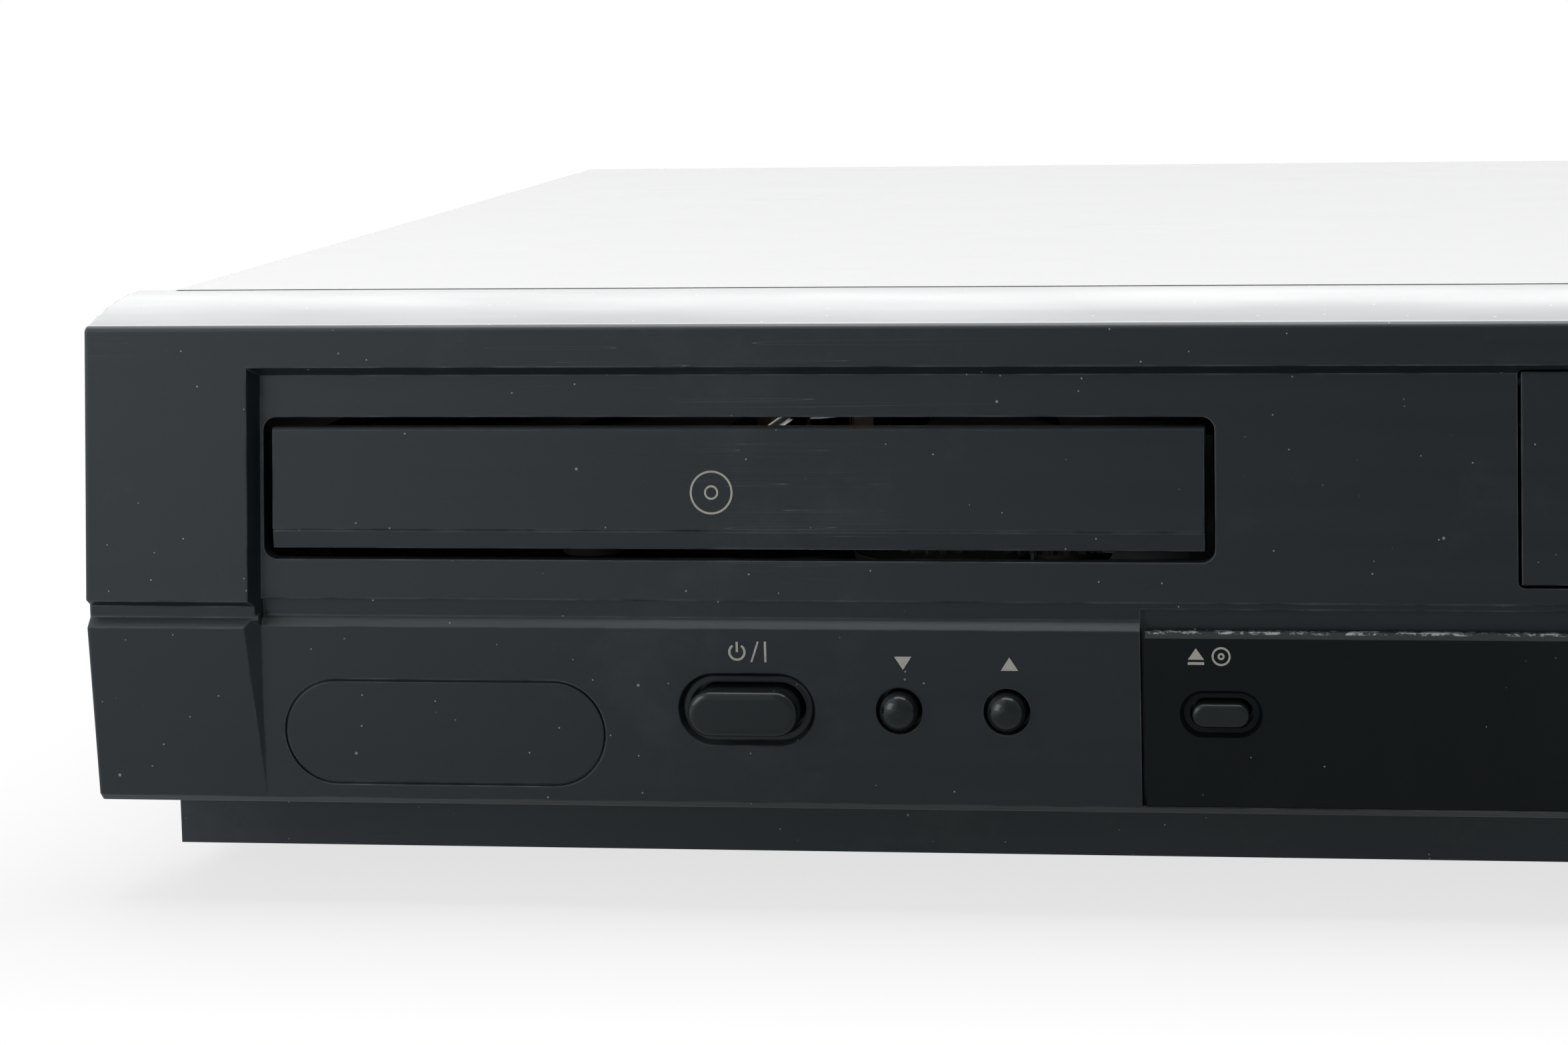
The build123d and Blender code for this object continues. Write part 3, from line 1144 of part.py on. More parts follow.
def nodes():
    """Every piece by the name of its node."""
    found = {
        "top_cover": top_cover(),
        "front_bezel": front_bezel(),
        "chassis_base": chassis_base(),
        "rear_panel": rear_panel(),
        "rubber_feet": rubber_feet(),
        "cover_screws": cover_screws(),
        "badge_plate": badge_plate(),
        "display_window": display_window(),
        "control_board": control_board(),
        "main_board": main_board(),
        "power_board": power_board(),
        "tuner_module": tuner_module(),
        "scart_sockets": scart_sockets(),
        "rear_av_sockets": rear_av_sockets(),
        "mains_inlet": mains_inlet(),
        "front_av_sockets": front_av_sockets(),
        "loader_frame": loader_frame(),
        "clamp_bridge": clamp_bridge(),
        "clamper": clamper(),
        "loading_motor": loading_motor(),
        "drive_belt": drive_belt(),
        "disc_tray": disc_tray(),
        "tray_flap": tray_flap(),
        "drive_gear": drive_gear(),
        "pulley_gear": pulley_gear(),
        "motor_pulley": motor_pulley(),
        "traverse_chassis": traverse_chassis(),
        "guide_rods": guide_rods(),
        "traverse_motors": traverse_motors(),
        "turntable": turntable(),
        "pickup_sled": pickup_sled(),
        "objective_lens": objective_lens(),
        "feed_gear": feed_gear(),
        "feed_pinion": feed_pinion(),
        "cassette_door": cassette_door(),
        "door_spring": door_spring(),
        "deck_chassis": deck_chassis(),
        "side_plates": side_plates(),
        "carriage_sliders": carriage_sliders(),
        "cassette_holder": cassette_holder(),
        "carriage_gear": carriage_gear(),
        "drum_base": drum_base(),
        "head_drum": head_drum(),
        "capstan": capstan(),
        "pinch_arm": pinch_arm(),
        "pinch_roller": pinch_roller(),
        "supply_reel": reel(-1),
        "take_up_reel": reel(1),
        "left_guide_post": guide_post(-1),
        "right_guide_post": guide_post(1),
        "tape_heads": tape_heads(),
        "power_button": power_button(),
        "program_down_button": round_button(PROGRAM_X[0]),
        "program_up_button": round_button(PROGRAM_X[1]),
        "disc_eject_button": eject_button(-EJECT_X),
        "tape_eject_button": eject_button(EJECT_X),
    }
    for name, x in zip(("rewind", "stop", "play", "forward"), TRANSPORT_X):
        found[f"{name}_button"] = transport_button(x)
    return found


def main():
    os.makedirs("parts", exist_ok=True)
    for node, shape in nodes().items():
        save(node, shape)


if __name__ == "__main__":
    main()
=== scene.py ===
import math

import bmesh
import bpy
from mathutils import Matrix, Vector
from mathutils.bvhtree import BVHTree


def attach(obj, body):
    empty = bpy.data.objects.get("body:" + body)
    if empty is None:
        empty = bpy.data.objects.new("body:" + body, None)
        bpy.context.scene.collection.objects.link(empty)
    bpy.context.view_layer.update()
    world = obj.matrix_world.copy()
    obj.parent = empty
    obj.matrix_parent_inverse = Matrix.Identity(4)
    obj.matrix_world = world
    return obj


# A disc player and cassette recorder in one black cabinet: the finishes of its parts, the
# printed marks, the contacts in its sockets, and the studio. Sizes are in millimetres where a
# name ends in _MM or a helper says so, and in metres elsewhere.

MM = 0.001

# Camera, set against the photograph.
CAMERA_PLACE_MM = (-3.3, -672.0, 148.6)
CAMERA_YAW, CAMERA_PITCH, CAMERA_ROLL = 7.143, 5.61, -1.002
CAMERA_LENS = 84.69
CAMERA_SHIFT = (-0.17, -0.16)

# Studio. A radiance of 1 shows a white surface as white.
SURROUND = (1.0, 1.0, 1.0)
AMBIENT = 0.16
LAMPS = {
    "back_softbox": {"size": (2.8, 1.25), "place": (0.0, 1.25, 1.04), "radiance": 2.42},
    "top_softbox": {"size": (1.3, 0.7), "place": (0.0, -0.05, 1.5), "radiance": 3.0},
    "fill": {"size": (0.5, 0.5), "place": (-0.75, -0.7, 0.4), "radiance": 2.42},
}
LAMP_TARGET = (0.0, 0.0, 0.05)

# What the upright front mirrors is as bright as the background on its left and dimmer on its
# right. Each row: the two places of the ramp, and the brightness at each.
MIRRORED_SKY = (-0.42, -0.05, 1.0, 0.36)  # by the X of the direction
MIRRORED_FLOOR = (-0.34, -0.12, 1.0, 0.4)  # by X in metres

# The floor is plain white away from the cabinet, and keeps this share of white near it.
FOOTPRINT = (0.215, 0.14)
FLOOR_FADE = 0.06
FLOOR_WHITE_NEAR = 0.74
FLOOR_WHITE_MIRRORED = 0.95

# Places of the controls, as in the source of the solids.
CONTROL_Z_MM = 30.8
POWER_X_MM = -116.5
PROGRAM_X_MM = (-93.5, -77.4)
TRANSPORT_X_MM = (73.0, 90.0, 107.0, 124.0)
JACK_X_MM = (145.0, 160.0, 175.0)
FLAP_MARK_MM = (-121.4, 63.2)
POWER_MARK_Z_MM = 39.5
KEY_MARK_Z_MM = 38.0
WINDOW_MARK_Z_MM = 39.4
BAND_FROM_MM = 87.6
# The window's bevel is painted lighter as a highlight; the chipped edge above it is wear.
WINDOW_BEVEL_MM = (41.95, 42.5)  # where the bevel starts, and the chipped edge above it

# Sockets on the back.
PHONO_X_MM = (36.0, 50.0, 64.0, 78.0, 92.0)
PHONO_Z_MM = 26.0
SCART_X_MM = (-66.5, -11.5)
SCART_Z_MM = 26.0
SCART_COLUMNS = 10
AERIAL_X_MM = (152.0, 174.0)
AERIAL_Z_MM = 30.0

# Faces of the phono sockets, on the front and on the back.
LINER_Y_MM = (-141.2, 144.85)
SLEEVE_Y_MM = (-141.1, 144.9)

# Axes of the disc and of the tape drum, (x, y).
DISC_AXIS_MM = (-118.4, -72.0)
DRUM_AXIS_MM = (94.0, 77.0)

# Base colours.
FRONT_BLACK = (0.008, 0.0115, 0.0145)
PLASTIC_GLOSS_TINT = (0.86, 0.96, 1.0)
DUST = (0.30, 0.31, 0.31)
SCRATCH = (0.25, 0.26, 0.27)
# Colour of the edges: partly wear, partly a painted highlight on the edges.
WORN_AND_HIGHLIGHT = (0.24, 0.25, 0.26)
PRINT_GREY = (0.50, 0.49, 0.44)
YELLOW, WHITE, RED = (0.75, 0.52, 0.02), (0.72, 0.72, 0.68), (0.55, 0.02, 0.02)


# ---------------------------------------------------------------- node materials
class Nodes:
    """Short calls for the nodes of one tree."""

    def __init__(self, tree):
        self.tree = tree

    def node(self, kind, inputs=None, **settings):
        made = self.tree.nodes.new(kind)
        for setting, value in settings.items():
            setattr(made, setting, value)
        for socket, value in (inputs or {}).items():
            self.feed(made.inputs[socket], value)
        return made

    def feed(self, socket, value):
        if isinstance(value, bpy.types.NodeSocket):
            self.tree.links.new(value, socket)
        elif isinstance(value, (tuple, list)) and len(value) == 3 and socket.type == "RGBA":
            socket.default_value = (*value, 1.0)
        else:
            socket.default_value = value

    def parts(self, vector):
        """The X, Y and Z of a vector, by name."""
        return self.node("ShaderNodeSeparateXYZ", {0: vector}).outputs

    def math(self, operation, a, b=0.0, clamp=False):
        made = self.node("ShaderNodeMath", {0: a, 1: b}, operation=operation)
        made.use_clamp = clamp
        return made.outputs[0]

    def between(self, value, low, high, to_low=0.0, to_high=1.0):
        """Maps low..high onto to_low..to_high, and holds at the ends."""
        ends = {"From Min": low, "From Max": high, "To Min": to_low, "To Max": to_high}
        return self.node("ShaderNodeMapRange", {"Value": value, **ends}).outputs[0]

    def mix(self, share, a, b):
        made = self.node("ShaderNodeMix", data_type="RGBA")
        self.feed(made.inputs[0], share)
        self.feed(made.inputs[6], a)
        self.feed(made.inputs[7], b)
        return made.outputs[2]


class Finish(Nodes):
    """A material on a Principled shader, textured in the frame's own coordinates."""

    def __init__(self, name, roughness=0.5, metallic=0.0, **sockets):
        self.material = bpy.data.materials.new(name)
        self.material.use_nodes = True
        super().__init__(self.material.node_tree)
        self.shader = self.tree.nodes["Principled BSDF"]
        self.set("Roughness", roughness)
        self.set("Metallic", metallic)
        for socket, value in sockets.items():
            self.set(socket.replace("_", " "), value)
        self.place = self.node("ShaderNodeTexCoord").outputs["Object"]
        self.normal = None

    def set(self, socket, value):
        self.feed(self.shader.inputs[socket], value)

    def stretched(self, scale, turn=(0, 0, 0)):
        """Object coordinates, scaled per axis and turned by degrees."""
        turned = tuple(math.radians(a) for a in turn)
        return self.node(
            "ShaderNodeMapping", {"Vector": self.place, "Scale": scale, "Rotation": turned}
        ).outputs[0]

    def noise(self, scale, detail=2.0, rough=0.5, place=None):
        return self.node(
            "ShaderNodeTexNoise",
            {"Vector": place or self.place, "Scale": scale, "Detail": detail, "Roughness": rough},
        ).outputs["Fac"]

    def cells(self, per_metre, place=None, **settings):
        """Voronoi cells: the outputs Distance and Color."""
        inputs = {"Vector": place or self.place, "Scale": per_metre}
        return self.node("ShaderNodeTexVoronoi", inputs, feature="F1", **settings).outputs

    def red_of(self, colour):
        return self.node("ShaderNodeSeparateColor", {0: colour}).outputs[0]

    def rounded_normal(self, radius_mm):
        return self.node("ShaderNodeBevel", {"Radius": radius_mm * MM}, samples=4).outputs[0]

    def bump(self, height, depth_mm, strength=1.0):
        inputs = {"Height": height, "Distance": depth_mm * MM, "Strength": strength}
        if self.normal is not None:
            inputs["Normal"] = self.normal
        self.normal = self.node("ShaderNodeBump", inputs).outputs[0]
        self.set("Normal", self.normal)

    def specks(self, per_metre, radius, share):
        """Mask of small round specks: share is how many of the cells have one."""
        cells = self.cells(per_metre)
        dot = self.between(cells["Distance"], radius, radius * 1.5, 1.0, 0.0)
        kept = self.between(self.red_of(cells["Color"]), share, share + 0.02, 1.0, 0.0)
        return self.math("MULTIPLY", dot, kept)

    def scratches(self, along, across, turn, width):
        """Mask of thin lines, from noise that is stretched along one axis."""
        lines = self.noise(1.0, 1.0, place=self.stretched((along, across, across), turn))
        near = self.math("ABSOLUTE", self.math("SUBTRACT", lines, 0.62))
        thin = self.between(near, 0.0, width, 1.0, 0.0)
        patches = self.between(self.noise(14.0, 2.0), 0.56, 0.66)
        return self.math("MULTIPLY", thin, patches)

    def worn_and_highlit_edges(self, radius_mm):
        """Mask that is 1 on convex and concave edges, broken up by noise. The edges it lightens are
        partly wear and partly a painted highlight.
        """
        rounded = self.rounded_normal(radius_mm)
        flat = self.node("ShaderNodeNewGeometry").outputs["Normal"]
        turn = self.node("ShaderNodeVectorMath", {0: rounded, 1: flat}, operation="DOT_PRODUCT")
        edge = self.between(self.math("SUBTRACT", 1.0, turn.outputs["Value"]), 0.04, 0.22)
        return self.math("MULTIPLY", edge, self.between(self.noise(160.0, 4.0), 0.35, 0.7))


def shade(colour, factor):
    return tuple(c * factor for c in colour)


def moulded(name, colour, roughness, grain_mm=0.02, dust=0.0, wear=0.0, band_mm=None, **sockets):
    """Moulded plastic: mottled colour and spark-eroded grain; dust, which gathers on what faces
    up; scratches; edges lightened, partly as wear and partly as a painted highlight, and shaded
    a little round; and a polished band above a height."""
    f = Finish(name, roughness, Specular_Tint=PLASTIC_GLOSS_TINT, **sockets)
    mottle = f.between(f.noise(9.0, 5.0, 0.6), 0.3, 0.7)
    tone = f.mix(mottle, shade(colour, 0.82), shade(colour, 1.2))
    polish = f.noise(1.0, 3.0, place=f.stretched((14.0, 60.0, 260.0)))
    rough = f.between(polish, 0.3, 0.7, roughness - 0.06, roughness + 0.09)
    if dust:
        fine = f.specks(420.0, 0.045, 0.4 * dust)
        coarse = f.specks(140.0, 0.028, 0.5 * dust)
        film = f.between(f.noise(26.0, 6.0, 0.7), 0.55, 0.85, 0.0, 0.10 * dust)
        upward = f.parts(f.node("ShaderNodeNewGeometry").outputs["Normal"])["Z"]
        settled = f.between(upward, 0.3, 0.7, 0.0, 0.11 * dust)
        specks = f.math("ADD", f.math("MAXIMUM", fine, coarse), film, clamp=True)
        tone = f.mix(f.math("ADD", specks, settled, clamp=True), tone, DUST)
    if wear:
        lines = f.math(
            "MAXIMUM",
            f.scratches(9.0, 900.0, (0, 14, 6), 0.004),
            f.scratches(12.0, 700.0, (0, -33, 0), 0.003),
        )
        tone = f.mix(f.math("MULTIPLY", lines, 0.35 * wear), tone, SCRATCH)
        rough = f.math("ADD", rough, f.math("MULTIPLY", lines, 0.2))
        # Edges painted lighter: partly wear, partly a painted highlight.
        tone = f.mix(f.math("MULTIPLY", f.worn_and_highlit_edges(0.5), 0.6 * wear), tone, WORN_AND_HIGHLIGHT)
        f.normal = f.rounded_normal(0.4)
    if band_mm is not None:
        height = f.parts(f.place)["Z"]
        f.set("Coat Weight", f.between(height, band_mm * MM, (band_mm + 0.5) * MM, 0.0, 0.55))
        f.set("Coat Roughness", 0.3)
        f.set("Coat IOR", 1.6)
    f.set("Base Color", tone)
    f.set("Roughness", rough)
    f.bump(f.noise(2600.0, 2.0, 0.6), grain_mm, 0.5)
    return f.material


def painted_steel():
    """Satin black stoving paint with a fine orange peel, dust film and hairline scratches, and edges
    lightened, partly as wear and partly as a painted highlight.
    """
    coat = {"Coat_Weight": 1.0, "Coat_Roughness": 0.25, "Coat_IOR": 1.7}
    f = Finish("painted_steel", 0.3, Sheen_Weight=0.12, **coat)
    colour = (0.017, 0.019, 0.021)
    tone = f.mix(f.between(f.noise(5.0, 6.0, 0.65), 0.3, 0.7), shade(colour, 0.8), shade(colour, 1.5))
    film = f.between(f.noise(17.0, 6.0, 0.7), 0.45, 0.8, 0.0, 0.08)
    specks = f.math("MAXIMUM", f.specks(300.0, 0.03, 0.03), f.specks(60.0, 0.012, 0.05))
    lines = f.math(
        "MAXIMUM",
        f.scratches(5.0, 500.0, (0, 0, 27), 0.003),
        f.scratches(7.0, 700.0, (0, 0, -58), 0.0025),
    )
    tone = f.mix(f.math("ADD", film, specks, clamp=True), tone, (0.33, 0.33, 0.31))
    # The cover's edges painted lighter: partly wear, partly a painted highlight.
    tone = f.mix(f.math("MULTIPLY", f.worn_and_highlit_edges(0.6), 0.3), tone, (0.22, 0.22, 0.21))
    f.set("Base Color", tone)
    polish = f.between(f.noise(11.0, 4.0), 0.3, 0.7, 0.29, 0.35)
    f.set("Roughness", f.math("ADD", polish, f.math("MULTIPLY", lines, 0.35)))
    f.bump(f.noise(1500.0, 2.0, 0.5), 0.012, 0.5)
    return f.material


def smoked():
    """Smoked acrylic: nearly black, glossy, finely scratched, with faint lighter slanted streaks of
    painted reflection, a bevel painted lighter as a highlight, and its top edge chipped white.
    """
    f = Finish("smoked_window", 0.07, Specular_IOR_Level=0.12)
    # Faintly lighter slanted streaks: a painted reflection of a strip light.
    painted_reflection = f.between(f.noise(1.0, 4.0, place=f.stretched((60.0, 20.0, 14.0), (0, 12, 0))), 0.5, 0.8)
    tone = f.mix(f.math("MULTIPLY", painted_reflection, 0.1), (0.0085, 0.012, 0.014), (0.045, 0.052, 0.057))
    specks = f.math("MAXIMUM", f.specks(260.0, 0.03, 0.05), f.specks(700.0, 0.05, 0.02))
    lines = f.scratches(14.0, 900.0, (0, 8, 0), 0.003)
    tone = f.mix(f.math("MAXIMUM", specks, f.math("MULTIPLY", lines, 0.4)), tone, (0.3, 0.32, 0.33))
    height = f.parts(f.place)["Z"]
    bevel, rim = (f.between(height, z * MM, (z + 0.15) * MM) for z in WINDOW_BEVEL_MM)
    # Painted highlight: the bevel is painted lighter.
    tone = f.mix(bevel, tone, (0.06, 0.07, 0.073))
    flakes = f.between(f.noise(1.0, 5.0, 0.75, f.stretched((420.0, 500.0, 900.0))), 0.5, 0.6)
    tone = f.mix(f.math("MULTIPLY", rim, flakes), tone, (0.62, 0.66, 0.67))
    f.set("Base Color", tone)
    f.set("Roughness", f.between(f.noise(40.0, 5.0), 0.3, 0.7, 0.05, 0.14))
    f.bump(f.noise(90.0, 2.0), 0.01, 0.15)
    return f.material


def metal(name, colour, roughness, streaks=(1.0, 1.0, 1.0), scale=300.0, tarnish=0.15, spangle=0.0):
    """Bare or plated metal with drawn or rolled streaks, and zinc spangle where asked."""
    f = Finish(name, roughness, metallic=1.0)
    drawn = f.noise(scale, 4.0, 0.6, f.stretched(streaks))
    tone = f.mix(f.between(drawn, 0.25, 0.75), shade(colour, 0.86), shade(colour, 1.05))
    dull = f.between(f.noise(18.0, 6.0, 0.65), 0.5, 0.8, 0.0, tarnish)
    tone = f.mix(dull, tone, shade(colour, 0.45))
    rough = f.between(drawn, 0.25, 0.75, roughness - 0.07, roughness + 0.1)
    if spangle:
        leaf = f.red_of(f.cells(330.0)["Color"])
        tone = f.mix(f.math("MULTIPLY", leaf, spangle), tone, shade(colour, 0.6))
        rough = f.math("ADD", rough, f.math("MULTIPLY", leaf, 0.12))
    f.set("Base Color", tone)
    f.set("Roughness", rough)
    f.bump(drawn, 0.006, 0.3)
    return f.material


def turned_metal(name, colour, roughness, centre_mm, radian_mm):
    """Metal turned on a lathe: fine rings about an upright axis, 2 pi times radian_mm wide."""
    wave_radians = 20.0  # that the wave texture turns by in one unit
    f = Finish(name, roughness, metallic=1.0)
    offset = tuple(-c * MM for c in centre_mm) + (0.0,)
    place = f.node("ShaderNodeVectorMath", {0: f.place, 1: offset}, operation="ADD").outputs[0]
    scale = 1.0 / (radian_mm * MM) / wave_radians
    inputs = {"Vector": place, "Scale": scale, "Distortion": 0.4, "Detail": 2.0}
    rings = f.node("ShaderNodeTexWave", inputs, wave_type="RINGS", rings_direction="Z").outputs["Fac"]
    stain = f.between(f.noise(60.0, 5.0), 0.5, 0.8, 0.0, 0.2)
    tone = f.mix(stain, f.mix(rings, shade(colour, 0.9), colour), shade(colour, 0.6))
    f.set("Base Color", tone)
    f.set("Roughness", f.between(rings, 0.0, 1.0, roughness - 0.05, roughness + 0.08))
    f.bump(rings, 0.004, 0.3)
    return f.material


def rubber():
    f = Finish("rubber", 0.75)
    dust = f.between(f.noise(120.0, 5.0, 0.7), 0.45, 0.75, 0.0, 0.35)
    f.set("Base Color", f.mix(dust, (0.02, 0.02, 0.021), (0.12, 0.118, 0.11)))
    f.bump(f.noise(1400.0, 3.0), 0.03, 0.6)
    return f.material


def circuit_board(name, colour, copper):
    """Solder resist over tracks, with bare pads."""
    f = Finish(name, 0.35)
    place = f.stretched((1.0, 1.0, 0.05))
    cells = f.cells(230.0, place, distance="CHEBYCHEV")["Distance"]
    tracks = f.between(f.math("FRACT", f.math("MULTIPLY", cells, 3.0)), 0.42, 0.5)
    pads = f.between(f.cells(390.0, place)["Distance"], 0.16, 0.2, 1.0, 0.0)
    tone = f.mix(tracks, shade(colour, 0.75), shade(colour, 1.35))
    f.set("Base Color", f.mix(pads, tone, copper))
    f.bump(tracks, 0.03, 0.5)
    return f.material


def printed_ink():
    """Screen-printed ink, slightly worn through."""
    f = Finish("printed_ink", 0.5)
    worn = f.between(f.noise(900.0, 4.0, 0.7), 0.5, 0.75, 0.0, 0.45)
    f.set("Base Color", f.mix(worn, PRINT_GREY, shade(PRINT_GREY, 0.45)))
    f.bump(f.noise(2500.0, 2.0), 0.005, 0.4)
    return f.material


def lens_glass():
    f = Finish("lens_glass", 0.03, Transmission_Weight=0.85, IOR=1.5, Coat_Weight=0.4)
    tint = f.between(f.noise(300.0, 2.0), 0.3, 0.7)
    f.set("Base Color", f.mix(tint, (0.35, 0.5, 0.85), (0.45, 0.55, 0.9)))
    return f.material


# ---------------------------------------------------------------- mesh helpers
def linked(name, data):
    """Makes an object from its data and puts it in the scene."""
    made = bpy.data.objects.new(name, data)
    bpy.context.scene.collection.objects.link(made)
    return made


def object_from(name, bm, material, body):
    """A mesh from a bmesh in millimetres, placed in the frame and riding on a body."""
    bmesh.ops.remove_doubles(bm, verts=bm.verts, dist=1e-5)
    bmesh.ops.recalc_face_normals(bm, faces=bm.faces)
    bm.transform(Matrix.Scale(MM, 4))
    mesh = bpy.data.meshes.new(name)
    bm.to_mesh(mesh)
    bm.free()
    mesh.materials.append(material)
    made = linked(name, mesh)
    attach(made, body)


def front_of(node):
    """A lookup of the foremost Y of a node at (x, z), in millimetres."""
    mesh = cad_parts[node].data
    corners = [v.co / MM for v in mesh.vertices]
    tree = BVHTree.FromPolygons(corners, [p.vertices[:] for p in mesh.polygons])
    return lambda x, z: tree.ray_cast(Vector((x, -400.0, z)), Vector((0, 1, 0)))[0].y


def printed(name, outlines, node, body, material):
    """Thin prisms from convex (x, z) outlines, laid on the front face of a node."""
    proud, sunk = 0.04, 0.06
    front_y = front_of(node)
    bm = bmesh.new()
    for outline in outlines:
        ys = [front_y(x, z) for x, z in outline]
        front = [bm.verts.new((x, y - proud, z)) for (x, z), y in zip(outline, ys)]
        back = [bm.verts.new((x, y + sunk, z)) for (x, z), y in zip(outline, ys)]
        bm.faces.new(front)
        bm.faces.new(reversed(back))
        for i in range(len(outline)):
            j = (i + 1) % len(outline)
            bm.faces.new((front[j], front[i], back[i], back[j]))
    object_from(name, bm, material, body)


def arc(x, z, radius, width, start=0, end=360, steps=24):
    """Quads of a curved stroke, between angles in degrees from +X towards +Z."""

    def point(distance, step):
        angle = math.radians(start + (end - start) * step / steps)
        return (x + distance * math.cos(angle), z + distance * math.sin(angle))

    inner, outer = radius - width / 2, radius + width / 2
    return [
        [point(inner, step), point(outer, step), point(outer, step + 1), point(inner, step + 1)]
        for step in range(steps)
    ]


def bar(x0, z0, x1, z1):
    return [(x0, z0), (x1, z0), (x1, z1), (x0, z1)]


def triangle(x, z, width, height):
    """Triangle about its middle: it points up where height is positive, else down."""
    return [(x - width / 2, z - height / 2), (x + width / 2, z - height / 2), (x, z + height / 2)]


def arrow(x, z, width, height):
    """Triangle that points to +X where width is positive, else to -X."""
    return [(x - width / 2, z - height / 2), (x + width / 2, z), (x - width / 2, z + height / 2)]


def eject_mark(x, z):
    return [triangle(x, z + 0.35, 2.4, 1.7), bar(x - 1.2, z - 1.25, x + 1.2, z - 0.85)]


def disc_mark(x, z, radius):
    return arc(x, z, radius, 0.3, steps=40) + arc(x, z, radius * 0.3, 0.3)


def cassette_mark(x, z, width, height):
    """Outline of a cassette with its two reels."""
    w, h, line = width / 2, height / 2, 0.28
    frame_bars = [
        bar(x - w, z + h - line, x + w, z + h),
        bar(x - w, z - h, x + w, z - h + line),
        bar(x - w, z - h, x - w + line, z + h),
        bar(x + w - line, z - h, x + w, z + h),
    ]
    reels = [arc(x + side * w / 2.2, z, 0.55, 0.3, steps=16) for side in (-1, 1)]
    return frame_bars + reels[0] + reels[1]


def lathe(name, profile, places, material, steps=32):
    """Turns a closed (radius, along) outline about the Y axis through each place, in
    millimetres. It is fixed to the cabinet."""
    turn = Matrix.Rotation(math.radians(-90), 4, "X")
    bm = bmesh.new()
    for place in places:
        move = Matrix.Translation(place) @ turn
        rings = []
        for radius, along in profile:
            ring = []
            for step in range(steps):
                a = 2 * math.pi * step / steps
                point = Vector((radius * math.cos(a), radius * math.sin(a), along))
                ring.append(bm.verts.new(move @ point))
            rings.append(ring)
        for k, ring in enumerate(rings):
            following = rings[(k + 1) % len(rings)]
            for step in range(steps):
                j = (step + 1) % steps
                bm.faces.new((ring[step], ring[j], following[j], following[step]))
    object_from(name, bm, material, "cabinet")


